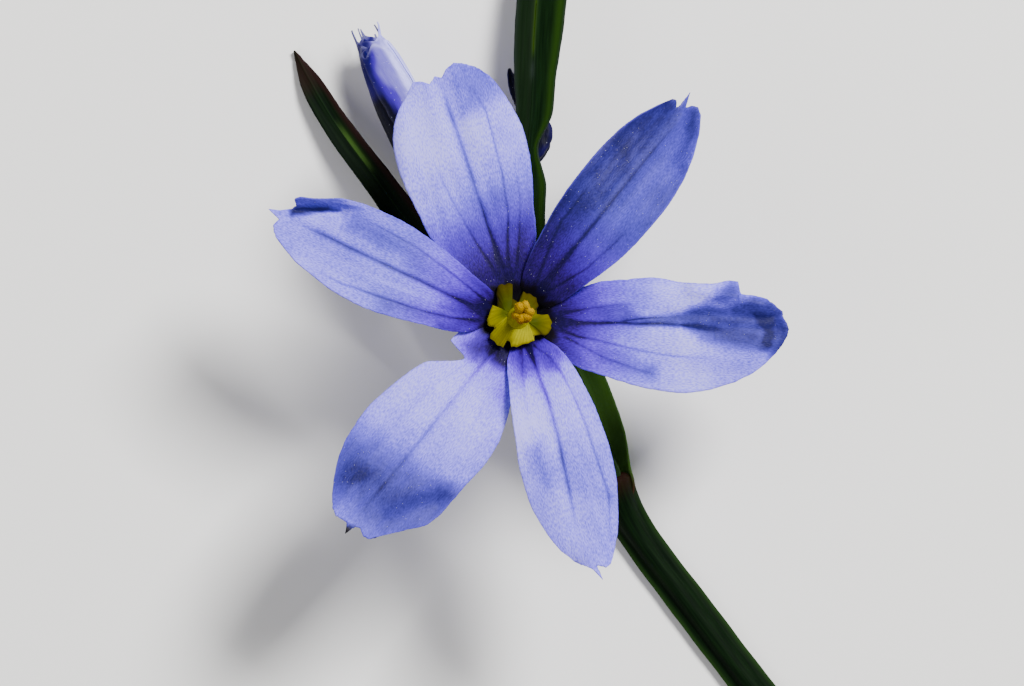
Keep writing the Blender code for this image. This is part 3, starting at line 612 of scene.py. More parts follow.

# Tepals. Six thin lilac blades in two whorls, three outer ones below and three inner ones above,
# darkening through violet to a purple-black ring round the eye, with veins from foot to tip, notched
# bristly tips, a few old bruises, and painted shade in folds and curled margins whose rims carry
# painted highlights as lighter veins. Each is a fine double skin on a shallow cup.
TEPAL_LEVEL = 9.0
WHORL_STEP = 0.96
WHORL_JOIN = 0.34
CUP_START = 1.25
CUP_RISE = 1.6
CUP_REACH = 2.5
CUP_SLOPE = 0.05
TEPAL_COLUMNS = 101
TEPAL_ROW = 0.085
TIP_ROWS = 9
TEPAL_FOOT = 0.58
FOOT_HALF = 0.50
MIDRIB_WIDTH = 0.100
VEIN_WIDTH = 0.062
MIDRIB_GLOW = 0.26
TEPALS = {
    # Turn round the eye in degrees, inner or outer whorl, poise (rise of the far end), camber (rise of
    # both sides), reach of the dark ring, how much darker the left side is, and where a dark point
    # starts. Rows are (along, half width on the left, half width on the right), tip (across, along),
    # depth (along, depth of the colour), creases (start, end, spread, rise), veins (strength near the
    # eye, strength further out, line) and stains (strength, softness, outline).
    "tepal_outer_top": {
        "turn": 105.3, "inner": False, "poise": 0.3, "camber": -0.35, "ring": 2.02, "darker_side": -0.10,
        "rows": (
            (1.25, 0.95, 0.85), (2.0, 1.45, 1.30), (3.0, 2.10, 1.70), (4.0, 2.62, 2.00),
            (5.0, 3.10, 2.15), (6.2, 3.33, 2.43), (7.5, 3.58, 2.62), (8.6, 3.68, 2.66),
            (9.7, 3.60, 2.48), (10.6, 3.30, 2.22), (11.3, 2.85, 1.95), (11.7, 2.45, 1.75)),
        "tip": (
            (2.15, 12.05), (1.90, 12.36), (1.50, 12.30), (1.15, 12.05), (0.80, 12.36), (0.50, 12.20),
            (0.20, 12.55), (-0.25, 12.75), (-0.70, 12.60), (-1.10, 12.36), (-1.45, 12.05)),
        "depth": ((1.2, 1.0), (2.0, 0.97), (2.6, 0.93), (3.3, 0.86), (4.0, 0.76), (5.0, 0.56),
                  (6.5, 0.30), (8.0, 0.16), (10.0, 0.09), (11.5, 0.18), (13.0, 0.30)),
        "creases": (((4.5, 0.2), (12.0, 0.6), 0.5, -0.12), ((7.5, 3.4), (11.0, 3.0), 0.6, 0.25)),
        "veins": (
            (0.95, 0.72, ((1.6, 0.10), (4, 0.2), (7, 0.36), (8.5, 0.44), (12.3, 0.64))),
            (0.55, 0.55, ((1.7, -0.15), (3, -0.3), (5, -0.85), (7, -1.1), (10, -1.15), (12, -0.6))),
            (0.45, 0.35, ((2.0, 0.35), (4, 1.0), (6, 1.5), (8, 1.9), (9.5, 2.1))),
            (0.3, 0.25, ((2.2, -0.5), (3.5, -1.0), (5.5, -1.6), (8, -1.9)))),
        "stains": (
            (0.56, 0.45, ((2.6, -0.15), (4.5, -0.15), (6.0, -0.1), (6.6, -0.4), (6.0, -0.85),
                          (4.5, -0.85), (3.4, -0.5))),
            (0.80, 0.40, ((2.8, -0.5), (4.3, -0.7), (4.3, -1.1), (3.2, -1.1))),
            (0.50, 0.40, ((3.0, 0.4), (5.0, 0.4), (6.0, 0.6), (5.2, 1.2), (4.0, 0.9))),
            (0.46, 0.35, ((3.2, 1.3), (4.6, 1.5), (5.4, 2.2), (4.4, 2.2), (3.4, 1.8))),
            (0.75, 0.12, ((3.90, -1.22), (4.18, -1.30), (4.12, -1.44), (3.92, -1.38))),
            (0.48, 0.80, ((10.2, 0.0), (11.6, 0.1), (13.0, -0.4), (12.4, -1.6), (11.2, -2.2),
                          (10.4, -1.2)))),
    },
    # Turned away from the light, so its deep colour is partly its own and partly painted shade. Its first
    # stain is painted shade in the curled right margin near the tip, and its last vein, a lighter one, is
    # a painted highlight on that rim.
    "tepal_inner_upper_right": {
        "turn": 51.8, "inner": True, "poise": -0.5, "camber": 0.40, "ring": 1.88, "darker_side": 0.18,
        "rows": (
            (1.25, 0.85, 0.85), (2.0, 1.20, 1.20), (3.0, 1.50, 1.50), (4.0, 1.68, 1.80),
            (5.5, 1.92, 2.15), (7.0, 2.00, 2.30), (8.5, 1.98, 2.35), (10.0, 1.83, 2.20),
            (11.2, 1.53, 1.90), (12.3, 1.05, 1.45)),
        "tip": (
            (0.70, 12.95), (0.50, 13.05), (0.28, 12.72), (0.10, 12.95), (0.22, 13.80),
            (-0.08, 13.05), (-0.30, 13.30), (-0.55, 13.42), (-0.88, 13.20), (-1.15, 12.80)),
        "depth": ((1.2, 1.0), (2.0, 0.965), (2.8, 0.92), (4.0, 0.82), (5.0, 0.78), (6.5, 0.75),
                  (8.0, 0.72), (10.0, 0.69), (11.0, 0.61), (12.0, 0.57), (13.2, 0.62)),
        "creases": (((4.5, 0.0), (12.6, -0.15), 0.5, -0.12), ((11.0, -1.9), (13.2, -0.9), 0.5, 0.40)),
        "veins": (
            (0.35, 0.45, ((1.6, 0), (8, -0.1), (12.8, -0.2))),
            (0.3, 0.28, ((2.0, 0.4), (4, 1.0), (5, 1.25), (8.2, 1.25))),
            (0.3, 0.30, ((2.0, -0.4), (4, -1.15), (6, -1.5), (7.8, -1.7))),
            (-0.25, -0.25, ((11.8, -1.42), (12.6, -1.18), (13.3, -0.80)))),
        "stains": (
            (0.95, 0.42, ((12.1, -1.22), (12.7, -1.02), (13.2, -0.75), (13.1, -0.50), (12.5, -0.75))),
            (0.72, 0.50, ((6.5, -2.4), (9.0, -2.5), (10.6, -2.2), (10.2, -1.8), (9.0, -1.8),
                          (7.6, -1.9))),
            (0.87, 0.80, ((6.8, 0.3), (9.0, 0.2), (12.6, 0.2), (12.6, 0.8), (10.4, 1.9), (8.0, 2.2),
                          (6.6, 2.2))),
            (0.93, 0.80, ((9.2, 0.7), (11.8, 0.4), (12.8, 0.3), (12.8, 0.9), (10.4, 2.0), (9.0, 2.1)))),
    },
    # Its folded tip: the dark stains there are partly bruising and partly painted shade of the fold.
    "tepal_outer_right": {
        "turn": -1.7, "inner": False, "poise": -0.3, "camber": -0.30, "ring": 1.98, "darker_side": 0.03,
        "rows": (
            (1.25, 0.85, 1.00), (2.0, 1.15, 1.68), (3.0, 1.55, 2.30), (4.0, 1.90, 2.60),
            (5.2, 2.03, 2.95), (6.5, 2.15, 3.25), (8.0, 1.95, 3.40), (9.3, 1.92, 3.22),
            (10.2, 2.10, 2.92), (10.62, 2.05, 2.78), (10.72, 1.48, 2.72), (11.4, 1.40, 2.35),
            (12.0, 1.28, 1.88)),
        "tip": (
            (1.05, 12.30), (0.70, 12.80), (0.40, 12.84), (0.10, 13.05), (-0.10, 13.12),
            (-0.40, 13.10), (-0.80, 12.90), (-1.10, 12.70), (-1.40, 12.45)),
        "depth": ((1.2, 1.0), (2.0, 0.95), (2.6, 0.84), (3.3, 0.69), (4.0, 0.50), (5.0, 0.34),
                  (6.5, 0.20), (8.0, 0.12), (9.5, 0.14), (11.0, 0.22), (12.3, 0.34), (13.0, 0.55)),
        "creases": (((7.0, 0.2), (12.4, 0.35), 0.5, -0.30), ((8.6, 1.8), (11.8, 1.1), 0.55, 0.45)),
        "veins": (
            (0.9, 1.15, ((1.6, -0.1), (3, -0.15), (5, -0.1), (7, -0.14), (9.0, -0.22), (10.6, -0.30))),
            (0.6, 0.95, ((5.0, 0.0), (6.0, 0.13), (7.0, 0.20), (8.4, 0.35))),
            (0.6, 0.50, ((2.0, -0.5), (3, -0.85), (5, -1.2), (7, -1.6), (10.2, -1.72))),
            (0.4, 0.30, ((2.2, 0.3), (3.4, 0.55), (5.0, 0.8), (6.4, 0.9))),
            (0.4, 0.30, ((2.4, -0.9), (4.2, -1.8), (6.0, -2.4), (8.0, -2.8)))),
        "stains": (
            (0.70, 0.40, ((2.2, 0.1), (3.6, 0.1), (5.9, 0.15), (5.2, 0.75), (3.6, 0.75), (2.6, 0.5))),
            (0.55, 0.40, ((2.6, -0.8), (4.0, -1.2), (5.6, -1.6), (5.0, -1.75), (3.6, -1.5))),
            (0.58, 0.60, ((3.6, -1.5), (5.5, -1.8), (6.8, -2.1), (6.6, -2.8), (5.2, -2.6), (4.0, -2.2))),
            (0.66, 0.30, ((6.0, -0.15), (7.6, -0.05), (8.2, 0.25), (8.0, 0.45), (7.0, 0.30),
                          (6.0, 0.15))),
            (0.75, 0.26, ((7.6, 0.28), (8.4, 0.76), (9.1, 0.95), (9.7, 0.85), (10.1, 0.58), (10.5, 0.92),
                          (11.2, 1.20), (12.0, 1.18), (12.6, 0.75), (12.85, 0.3), (12.3, -0.1),
                          (11.4, -0.32), (10.2, -0.28), (9.0, -0.16), (8.0, -0.06))),
            (0.81, 0.30, ((9.9, 0.62), (10.5, 1.02), (11.3, 1.26), (12.2, 1.12), (12.7, 0.6), (12.2, 0.4),
                          (11.4, 0.7), (10.8, 0.65))),
            (1.10, 0.26, ((11.55, 0.55), (12.45, 0.5), (12.55, -0.1), (12.40, -1.0), (12.0, -1.18),
                          (11.66, -0.95), (11.9, -0.35), (11.6, 0.0))),
            (0.84, 0.60, ((8.2, -0.1), (9.2, 0.1), (11.7, 0.0), (12.2, -1.15), (11.2, -1.2),
                          (10.0, -1.0), (8.9, -0.7))),
            (0.66, 0.40, ((9.2, 1.1), (10.0, 1.85), (10.6, 2.2), (10.8, 1.4), (11.3, 1.2), (10.0, 0.9))),
            (0.86, 0.36, ((12.3, 0.8), (13.0, 0.3), (13.4, -0.3), (12.9, -1.3), (12.3, -1.4),
                          (12.5, -0.5)))),
    },
    "tepal_inner_bottom": {
        "turn": -72.2, "inner": True, "poise": 0.1, "camber": -0.35, "ring": 1.56, "darker_side": 0.09,
        "rows": (
            (1.25, 0.85, 0.80), (2.0, 1.45, 1.20), (3.0, 1.83, 1.42), (4.0, 2.05, 1.65),
            (5.5, 2.25, 1.90), (7.0, 2.30, 2.15), (8.5, 2.20, 2.20), (10.0, 1.85, 1.95),
            (11.1, 1.50, 1.58), (12.0, 1.05, 1.02)),
        "tip": (
            (0.80, 12.42), (0.60, 12.70), (0.38, 12.78), (0.15, 12.62), (-0.04, 12.56),
            (0.05, 13.32), (-0.25, 12.68), (-0.45, 12.50), (-0.75, 12.25)),
        "depth": ((1.2, 0.97), (1.6, 0.80), (2.0, 0.58), (2.6, 0.36), (3.2, 0.20), (4.0, 0.09),
                  (5.5, 0.12), (8.0, 0.24), (10.0, 0.24), (13.2, 0.30)),
        "creases": (((4.0, 0.1), (10.5, -0.4), 0.5, -0.12),),
        "veins": (
            (0.7, 0.80, ((1.3, 0.05), (4, 0.14), (6, 0.08), (8, -0.12), (9.4, -0.30), (10.8, -0.40))),
            (0.35, 0.52, ((1.6, 0.35), (2.4, 0.95), (3.2, 1.2), (4.5, 1.4), (6, 1.52), (9.5, 1.55),
                          (12, 0.8))),
            (0.30, 0.20, ((1.6, -0.3), (2.6, -0.62), (4, -0.9), (6, -1.1))),
            (0.20, 0.12, ((5.0, 0.8), (7, 0.9), (9.5, 0.75)))),
        "stains": (
            (0.70, 0.42, ((1.2, 0.25), (1.3, 1.1), (2.2, 1.3), (3.0, 1.0), (2.7, 0.5), (2.0, 0.25))),
            (0.70, 0.40, ((1.2, -0.1), (1.2, -0.9), (2.2, -0.75), (2.9, -0.5), (2.6, -0.15))),
            (0.46, 0.80, ((6.0, -0.7), (7.2, -0.7), (8.3, -0.9), (8.4, -1.4), (7.4, -1.6), (6.2, -1.4))),
            (0.26, 0.70, ((6.4, 0.3), (8.0, 0.2), (9.6, 0.1), (9.2, 0.9), (7.2, 1.0))),
            (0.42, 0.30, ((9.3, 1.30), (9.7, 1.5), (9.8, 1.7), (9.3, 1.6)))),
    },
    "tepal_outer_lower_left": {
        "turn": -128.5, "inner": False, "poise": 0.2, "camber": -0.30, "ring": 1.76,
        "darker_side": 0.04, "dark_point": 12.95,
        "rows": (
            (1.25, 0.85, 1.10), (1.9, 1.25, 1.58), (2.4, 1.60, 1.84), (2.90, 1.95, 1.88),
            (3.02, 2.02, 1.00), (3.15, 2.10, 0.80), (3.5, 2.32, 1.08), (3.85, 2.50, 1.50),
            (4.5, 2.75, 2.20), (5.5, 3.05, 2.55), (6.6, 3.15, 2.80), (8.0, 3.05, 3.00),
            (9.5, 3.00, 2.90), (10.5, 2.80, 2.65), (11.3, 2.22, 2.30), (12.2, 1.50, 1.75)),
        "tip": (
            (1.20, 12.60), (1.00, 12.85), (0.70, 12.90), (0.35, 12.68), (0.10, 12.80),
            (-0.05, 13.35), (-0.30, 12.88), (-0.60, 12.90), (-0.95, 12.95), (-1.30, 12.75),
            (-1.55, 12.45)),
        "depth": ((1.2, 1.0), (1.6, 0.90), (2.0, 0.64), (2.6, 0.36), (3.3, 0.20), (4.2, 0.12),
                  (6.5, 0.18), (8.0, 0.28), (9.0, 0.46), (10.5, 0.60), (11.8, 0.60), (12.6, 0.48),
                  (13.3, 0.40)),
        "creases": (((4.0, 0.0), (12.6, 0.0), 0.5, -0.12), ((9.5, 2.4), (11.5, 1.2), 0.6, -0.20)),
        "veins": (
            (0.45, 0.34, ((1.5, 0.05), (3, 0.02), (8, 0.0), (12.9, -0.08))),
            (0.60, 0.10, ((1.6, 0.30), (2.0, 0.45), (2.4, 0.65), (3.0, 0.85))),
            (0.40, 0.10, ((1.6, -0.4), (2.2, -0.75), (2.8, -1.2))),
            (0.15, 0.15, ((3.0, -0.5), (5, -1.1), (8, -1.5))),
            (0.15, 0.15, ((3.0, 0.9), (5, 1.5), (8, 1.9)))),
        "stains": (
            (1.10, 0.40, ((1.4, 0.3), (1.8, 1.1), (2.4, 1.0), (2.4, 0.4), (1.8, 0.1))),
            (0.90, 0.60, ((1.4, 0.1), (2.2, 0.1), (2.9, -0.3), (2.7, -1.2), (2.0, -0.9), (1.4, -0.4))),
            (0.42, 0.60, ((2.6, 1.0), (3.4, 1.3), (4.2, 2.3), (3.2, 2.0))),
            (0.88, 0.85, ((8.3, 3.3), (9.1, 3.3), (9.4, 2.2), (8.7, 1.9))),
            (0.86, 1.10, ((9.3, 2.0), (10.2, 1.8), (11.4, 0.7), (10.9, 0.2), (9.6, 0.9))),
            (1.02, 1.00, ((10.0, -0.6), (11.2, -0.8), (11.4, -1.7), (10.2, -1.9))),
            (0.70, 1.00, ((9.0, 3.4), (10.6, 2.8), (11.8, 1.2), (11.6, -0.4), (11.6, -1.9),
                          (9.6, -2.4), (9.3, -0.5))),
            (1.00, 0.14, ((12.9, 0.1), (13.5, 0.05), (13.5, -0.2), (12.9, -0.25)))),
    },
    # Its lower margin rolls over near the tip: the last stain is painted shade in the groove, and the
    # last vein, a lighter one, is a painted highlight on the rim.
    "tepal_inner_left": {
        "turn": 156.6, "inner": True, "poise": 0.0, "camber": 0.25, "ring": 1.76, "darker_side": -0.04,
        "rows": (
            (1.25, 0.95, 0.60), (2.0, 1.60, 0.82), (3.0, 1.95, 1.12), (4.0, 2.10, 1.45),
            (5.5, 2.35, 1.83), (7.0, 2.50, 2.08), (8.5, 2.40, 2.12), (10.0, 2.05, 1.95),
            (11.0, 1.75, 1.52), (11.6, 1.45, 1.30)),
        "tip": (
            (1.05, 12.30), (0.85, 12.50), (0.55, 12.65), (0.20, 12.50), (-0.05, 13.20),
            (-0.20, 12.65), (-0.50, 12.15), (-0.70, 11.98), (-1.00, 12.20), (-1.20, 11.98)),
        "depth": ((1.2, 1.0), (1.6, 0.97), (2.0, 0.89), (2.6, 0.74), (3.3, 0.56), (4.0, 0.43),
                  (5.0, 0.36), (6.5, 0.30), (9.0, 0.27), (11.0, 0.26), (13.2, 0.30)),
        "creases": (((10.0, -1.25), (12.1, -0.55), 0.4, -0.28), ((9.8, -2.0), (12.1, -1.1), 0.4, 0.35)),
        "veins": (
            (0.75, 0.74, ((1.5, 0.42), (4, 0.30), (8, 0.15), (12.2, -0.02))),
            (0.5, 0.62, ((1.8, 0.9), (3, 1.3), (5, 1.62), (8.6, 1.9), (10.5, 1.7))),
            (0.5, 0.45, ((1.8, -0.1), (3.2, -0.55), (6, -1.2), (9.4, -1.5))),
            (0.25, 0.20, ((3, 0.9), (5, 1.1), (8, 1.2))),
            (-0.4, -0.40, ((9.6, -1.88), (10.6, -1.60), (11.4, -1.28), (12.3, -0.98)))),
        "stains": (
            (0.75, 0.40, ((1.6, 1.2), (2.6, 1.5), (3.6, 1.7), (3.4, 2.3), (1.8, 2.0))),
            (0.52, 0.50, ((1.8, 0.1), (3.4, 0.2), (5.0, 0.0), (6.0, -0.2), (5.6, -0.7), (4.2, -0.5),
                          (2.4, -0.2))),
            (0.58, 0.55, ((1.8, 0.9), (3.0, 1.5), (4.2, 2.0), (6.4, 2.4), (7.0, 1.5), (4.4, 1.4),
                          (2.6, 0.9))),
            (0.56, 0.60, ((5.0, -0.7), (7.4, -0.5), (9.4, -0.6), (9.2, -1.5), (6.6, -1.3))),
            (0.30, 0.50, ((6.6, 0.1), (9.0, 0.0), (9.4, -0.8), (7.2, -0.9))),
            (0.62, 0.22, ((9.0, -1.85), (10.6, -1.45), (11.4, -1.10), (12.2, -0.80), (12.3, -1.1),
                          (10.4, -1.95))),
            (1.10, 0.18, ((10.0, -1.42), (10.6, -1.05), (11.4, -0.55), (12.1, -0.15), (12.15, -0.40),
                          (12.0, -0.72), (11.4, -1.0), (10.6, -1.36)))),
    },
}
PETAL_VIOLETS = (
    (0.0, (0.330, 0.300, 0.850)), (0.20, (0.205, 0.160, 0.850)), (0.40, (0.118, 0.050, 0.680)),
    (0.55, (0.066, 0.018, 0.440)), (0.70, (0.038, 0.006, 0.300)), (0.80, (0.026, 0.002, 0.200)),
    (0.90, (0.0135, 0.001, 0.088)), (1.0, (0.0035, 0.0008, 0.028)),
)
PETAL_SLATES = (
    (0.0, (0.340, 0.320, 0.850)), (0.20, (0.200, 0.170, 0.830)), (0.40, (0.090, 0.074, 0.560)),
    (0.60, (0.046, 0.038, 0.330)), (0.75, (0.027, 0.024, 0.200)), (0.90, (0.0105, 0.0085, 0.100)),
    (1.0, (0.0050, 0.0044, 0.058)),
)
PETAL_EDGE = (0.085, 0.065, 0.550)
PETAL_UNDER = (0.100, 0.085, 0.420)
PETAL_RING = (0.0024, 0.0012, 0.0040)


def gentle(place, stations):
    """Smooth value between (place, value) stations, which never swings past them."""
    places, values = np.array(stations, float).T
    slope = np.diff(values) / np.diff(places)
    both = slope[:-1] * slope[1:]
    turn = np.r_[slope[0], np.where(both > 0, 2 * both / (slope[:-1] + slope[1:] + 1e-12), 0), slope[-1]]
    at = np.clip(np.searchsorted(places, place, side="right") - 1, 0, len(places) - 2)
    width = places[at + 1] - places[at]
    t = np.clip((place - places[at]) / width, 0, 1)
    low, high = values[at], values[at + 1]
    return ((1 + 2 * t) * (1 - t) ** 2 * low + t * (1 - t) ** 2 * width * turn[at]
            + t ** 2 * (3 - 2 * t) * high + t ** 2 * (t - 1) * width * turn[at + 1])


def away_from(along, across, start, end):
    """Distance of each point of a tepal from the line between two others."""
    (x0, y0), (x1, y1) = start, end
    share = ((along - x0) * (x1 - x0) + (across - y0) * (y1 - y0)) / ((x1 - x0) ** 2 + (y1 - y0) ** 2)
    share = np.clip(share, 0, 1)
    return np.hypot(along - x0 - share * (x1 - x0), across - y0 - share * (y1 - y0))


def inside(along, across, outline, soft):
    """1 inside an outline on a tepal and 0 outside it, with an edge as soft as the width given."""
    within = np.zeros(along.shape, bool)
    away = np.full(along.shape, 1e9)
    for start, end in zip(outline, outline[1:] + outline[:1]):
        (x0, y0), (x1, y1) = start, end
        if y0 != y1:
            crosses = (across > min(y0, y1)) & (across <= max(y0, y1))
            within ^= crosses & (along < x0 + (across - y0) * (x1 - x0) / (y1 - y0))
        away = np.minimum(away, away_from(along, across, start, end))
    return ease(0.5 + np.where(within, away, -away) / (2 * soft))


def cup(x, y):
    """Height of the shallow cup that the open tepals form, leaning with the flower."""
    out = np.maximum(np.hypot(x, y) - CUP_START, 0)
    return CUP_RISE * (1 - np.exp(-out / CUP_REACH)) + CUP_SLOPE * out - LEAN[0] * x - LEAN[1] * y


def whorl_height(inner, along):
    """Height of a whorl above the outer one. The two draw together at the eye."""
    step = WHORL_STEP - 0.5 * ease((along - 6.0) / 5) if inner else 0.0
    join = WHORL_JOIN * ease((4.5 - along) / 3.0) + 0.09 * ease((2.2 - along) / 0.9)
    return step + (-join if inner else join)


def tepal_middle(tepal, along, across, share):
    """Middle surface of a tepal at distances along and across it."""
    turn = math.radians(tepal["turn"])
    x = along * math.cos(turn) - across * math.sin(turn)
    y = along * math.sin(turn) + across * math.cos(turn)
    free = ease((along - 4.5) / 3.5)
    height = TEPAL_LEVEL + cup(x, y) + whorl_height(tepal["inner"], along)
    height = height + free * tepal["camber"] * share ** 2
    height += tepal["poise"] * np.maximum((along - 5.0) / 8, 0) ** 2
    for start, end, spread, rise in tepal["creases"]:
        height += free * rise * bell(away_from(along, across, start, end), spread)
    height -= 0.55 * ease((CUP_START + 0.1 - along) / 0.55) + 0.3 * np.maximum(1.0 - along, 0)
    return np.stack((x, y, height), axis=-1)


def tepal_grid(tepal, seed):
    """Distances along and across a tepal and share of its half width, with fine teeth on its edge."""
    rows = np.array(tepal["rows"])
    last = rows[-1, 0]
    share = np.linspace(1, -1, TEPAL_COLUMNS)
    left, right = (np.vstack(((TEPAL_FOOT, FOOT_HALF), rows[:, (0, column)])) for column in (1, 2))
    along, across, shares = [], [], []
    for distance in np.arange(TEPAL_FOOT, last, TEPAL_ROW):
        half = np.where(share > 0, gentle(distance, left), gentle(distance, right))
        fringe = 0.022 * noise.noise(Vector((distance * 2.6, seed, 1.0)))
        fringe += 0.016 * noise.noise(Vector((distance * 8.5, seed, 2.0)))
        half = half * np.where(np.abs(share) > 0.9, 1 + fringe / np.maximum(half, 0.5), 1)
        along.append(np.full(TEPAL_COLUMNS, distance))
        across.append(share * half)
        shares.append(share)
    tip = np.array(tepal["tip"])
    spread = np.linspace(0, len(tip) - 1, TEPAL_COLUMNS)
    tip_across, tip_along = (np.interp(spread, np.arange(len(tip)), values) for values in tip.T)
    tip_along += 0.035 * np.array([noise.noise(Vector((place * 9, seed, 3.0))) for place in tip_across])
    end_half = np.where(share > 0, rows[-1, 1], rows[-1, 2])
    for t in np.arange(TIP_ROWS + 1) / TIP_ROWS:
        along.append(last + (tip_along - last) * t)
        across.append(share * end_half * (1 - t) + tip_across * t)
        shares.append(share * (1 - t) + across[-1] / np.abs(tip[:, 0]).max() * t)
    return np.array(along), np.array(across), np.array(shares)


def blotched(across, along, seed):
    """Soft noise over a tepal at distances across and along it, already scaled."""
    across, along = np.broadcast_arrays(across, along)
    flat = zip(across.ravel(), along.ravel())
    return np.array([noise.noise(Vector((x, y, seed))) for x, y in flat]).reshape(across.shape)


def vein_marks(tepal, along, across, seed):
    """How much darker, or lighter below 0, the veins make each point. Each has a strength near the
    eye and one further out."""
    dark, light = np.zeros_like(along), np.zeros_like(along)
    fresh = np.exp(-np.maximum(along - 2, 0) / 2.2)
    for index, (near, far, line) in enumerate(tepal["veins"]):
        sway = 0.03 * wander(along[:, 0], seed + 20 + index, 0.8)[:, None]
        away = np.abs(across - sway - straight(along, line))
        ends = ease((line[-1][0] - along) / 2.6) * ease((along - line[0][0] + 0.3) / 0.4)
        patchy = 0.85 + 0.35 * wander(along[:, 0], seed + 40 + index, 1.1)[:, None]
        width = (MIDRIB_WIDTH if index == 0 else VEIN_WIDTH) + 0.02 * fresh
        line_mark = (far + (near - far) * fresh) * ends * patchy * np.exp(-(away / width) ** 1.6)
        if index == 0:
            line_mark += 0.16 * far * ends * patchy * bell(away, MIDRIB_GLOW)
        dark = np.maximum(dark, line_mark)
        light = np.minimum(light, line_mark)
    return np.clip(dark, 0, 1) + light


def make_tepal(name, tepal, material, seed):
    """Thin blade of one tepal with its marks: how deep its colour is, how far it goes from violet to
    slate blue, the dark ring at the eye and the edge."""
    along, across, share = tepal_grid(tepal, seed)
    veins = vein_marks(tepal, along, across, seed)
    middle = tepal_middle(tepal, along, across, share)
    free = ease((along - 2.5) / 3.0)
    wave = 0.09 * wander(along[:, 0], seed + 5, 0.45)[:, None] * np.sign(share) * np.abs(share) ** 3
    ribs = blotched(across * 2.6, along * 0.16, seed)
    dents = blotched(across * 0.8, along * 0.55, seed + 3)
    middle[:, :, 2] += (free * (wave + 0.035 * ribs + 0.07 * dents)
                        - 0.035 * np.maximum(veins, 0) * ease((along - 1.5) / 1.0))
    thickness = 0.07 + 0.13 * (1 - np.abs(share) ** 3) * np.clip((13.2 - along) / 5, 0.25, 1)
    spokes = blotched(np.degrees(np.arctan2(across, along)) * 0.13, along * 0.2, seed + 6)
    reach = along + (0.50 * spokes + 0.35 * np.abs(share) ** 2) * ease((6.5 - along) / 3)
    depth = straight(reach, tepal["depth"])
    one_sided = share * ease((along - 2.4) / 2.5) * (0.35 + 0.65 * ease((11.5 - along) / 4))
    depth += tepal["darker_side"] * one_sided
    depth += (0.07 * ribs + 0.12 * blotched(across * 0.7, along * 0.45, seed + 9)) * free
    rough_along = along + 0.16 * blotched(across * 2.6, along * 1.6, seed + 13)
    rough_across = across + 0.09 * blotched(across * 3.4, along * 1.4, seed + 15) + 0.05 * ribs
    mottled = 1 + 0.12 * blotched(across * 4.2, along * 1.3, seed + 12)
    for strength, soft, outline in tepal["stains"]:
        more = np.maximum(strength * mottled - depth, 0)
        depth += more * inside(rough_along, rough_across, outline, soft)
    depth += np.where(veins > 0, 0.60, 0.8) * veins
    marks = {
        "depth": np.clip(depth, 0, 1),
        "slate": ease((along - 2.8) / 4.5),
        "ring": ease((tepal["ring"] + 0.30 * spokes - along) / 0.40),
        "edge": ease((np.abs(share) - 0.955) / 0.045) * ease((along - 2) / 2)}
    if "dark_point" in tepal:
        marks["ring"] = np.maximum(marks["ring"], ease((along - tepal["dark_point"]) / 0.15))
    piece = double_skin(name, middle, thickness, material, np.stack((across, along), axis=2), marks)
    take_place(piece, name)


def level(tree, output, low, high, least=0.0, most=1.0):
    """Output spread from one range of values to another."""
    inputs = {"Value": output, "From Min": low, "From Max": high, "To Min": least, "To Max": most}
    return add_node(tree, "ShaderNodeMapRange", inputs).outputs["Result"]


# Fine grain of a petal: long cells in rows along it, soft blotches and scattered bright dots, which
# raise the skin and are mixed in as painted glints of light.
petal_cells, cell_inputs = new_group("petal_cells", {"Cell length": 6.0}, ("Cells", "Blotches", "Glint dots"))
petal_place = uv_place(petal_cells)
cell_place = stretched(petal_cells, petal_place, across=18.0, along=cell_inputs["Cell length"])
glint_dots = add_node(petal_cells, "ShaderNodeTexVoronoi", {"Vector": petal_place, "Scale": 8.0}).outputs
add_node(petal_cells, "NodeGroupOutput", {
    "Cells": noisy(petal_cells, cell_place, scale=1.0, detail=2.0),
    "Blotches": noisy(petal_cells, petal_place, scale=0.9, detail=3.0),
    "Glint dots": maths(petal_cells, "MULTIPLY", level(petal_cells, glint_dots["Distance"], 0.13, 0.05),
                  maths(petal_cells, "GREATER_THAN", glint_dots["Color"], 0.66))})

# Satin, granular petal skin from the marks of a tepal.
tepal_skin, tree, shader = new_skin("tepal_skin", roughness=0.48, shine=0.09)
shader.inputs["Sheen Weight"].default_value = 0.04
shader.inputs["Sheen Roughness"].default_value = 0.45
shader.inputs["Sheen Tint"].default_value = (0.75, 0.78, 1.0, 1.0)
cells = add_node(tree, "ShaderNodeGroup", {}, node_tree=petal_cells).outputs
marked_depth = read_mark(tree, "depth")
grain = maths(tree, "MULTIPLY", level(tree, cells["Cells"], 0.36, 0.66, -0.10, 0.10),
              level(tree, marked_depth, 0.0, 1.0, 1.5, 0.35))
petal_depth = maths(tree, "ADD", maths(tree, "ADD", marked_depth, grain),
                    level(tree, cells["Blotches"], 0.35, 0.68, -0.04, 0.04))
colour = mixed(tree, ramp(tree, petal_depth, PETAL_VIOLETS, "LINEAR"), read_mark(tree, "slate"),
               ramp(tree, petal_depth, PETAL_SLATES, "LINEAR"))
colour = marked_colour(tree, colour, (
    ("edge", PETAL_EDGE, 0.40), ("under", PETAL_UNDER, 0.50), ("ring", PETAL_RING)))
# Painted glints: the scattered dots are mixed towards white.
colour = mixed(tree, colour, cells["Glint dots"], (0.82, 0.82, 0.95), 0.60)
raised = bumped(tree, cells["Cells"], strength=0.8, distance=0.03)
dotted = bumped(tree, cells["Glint dots"], strength=0.8, distance=0.03, Normal=raised)
finish_skin(tree, shader, colour, dotted)

for number, (name, tepal) in enumerate(TEPALS.items()):
    make_tepal(name, tepal, tepal_skin, seed=11.0 + 7 * number)

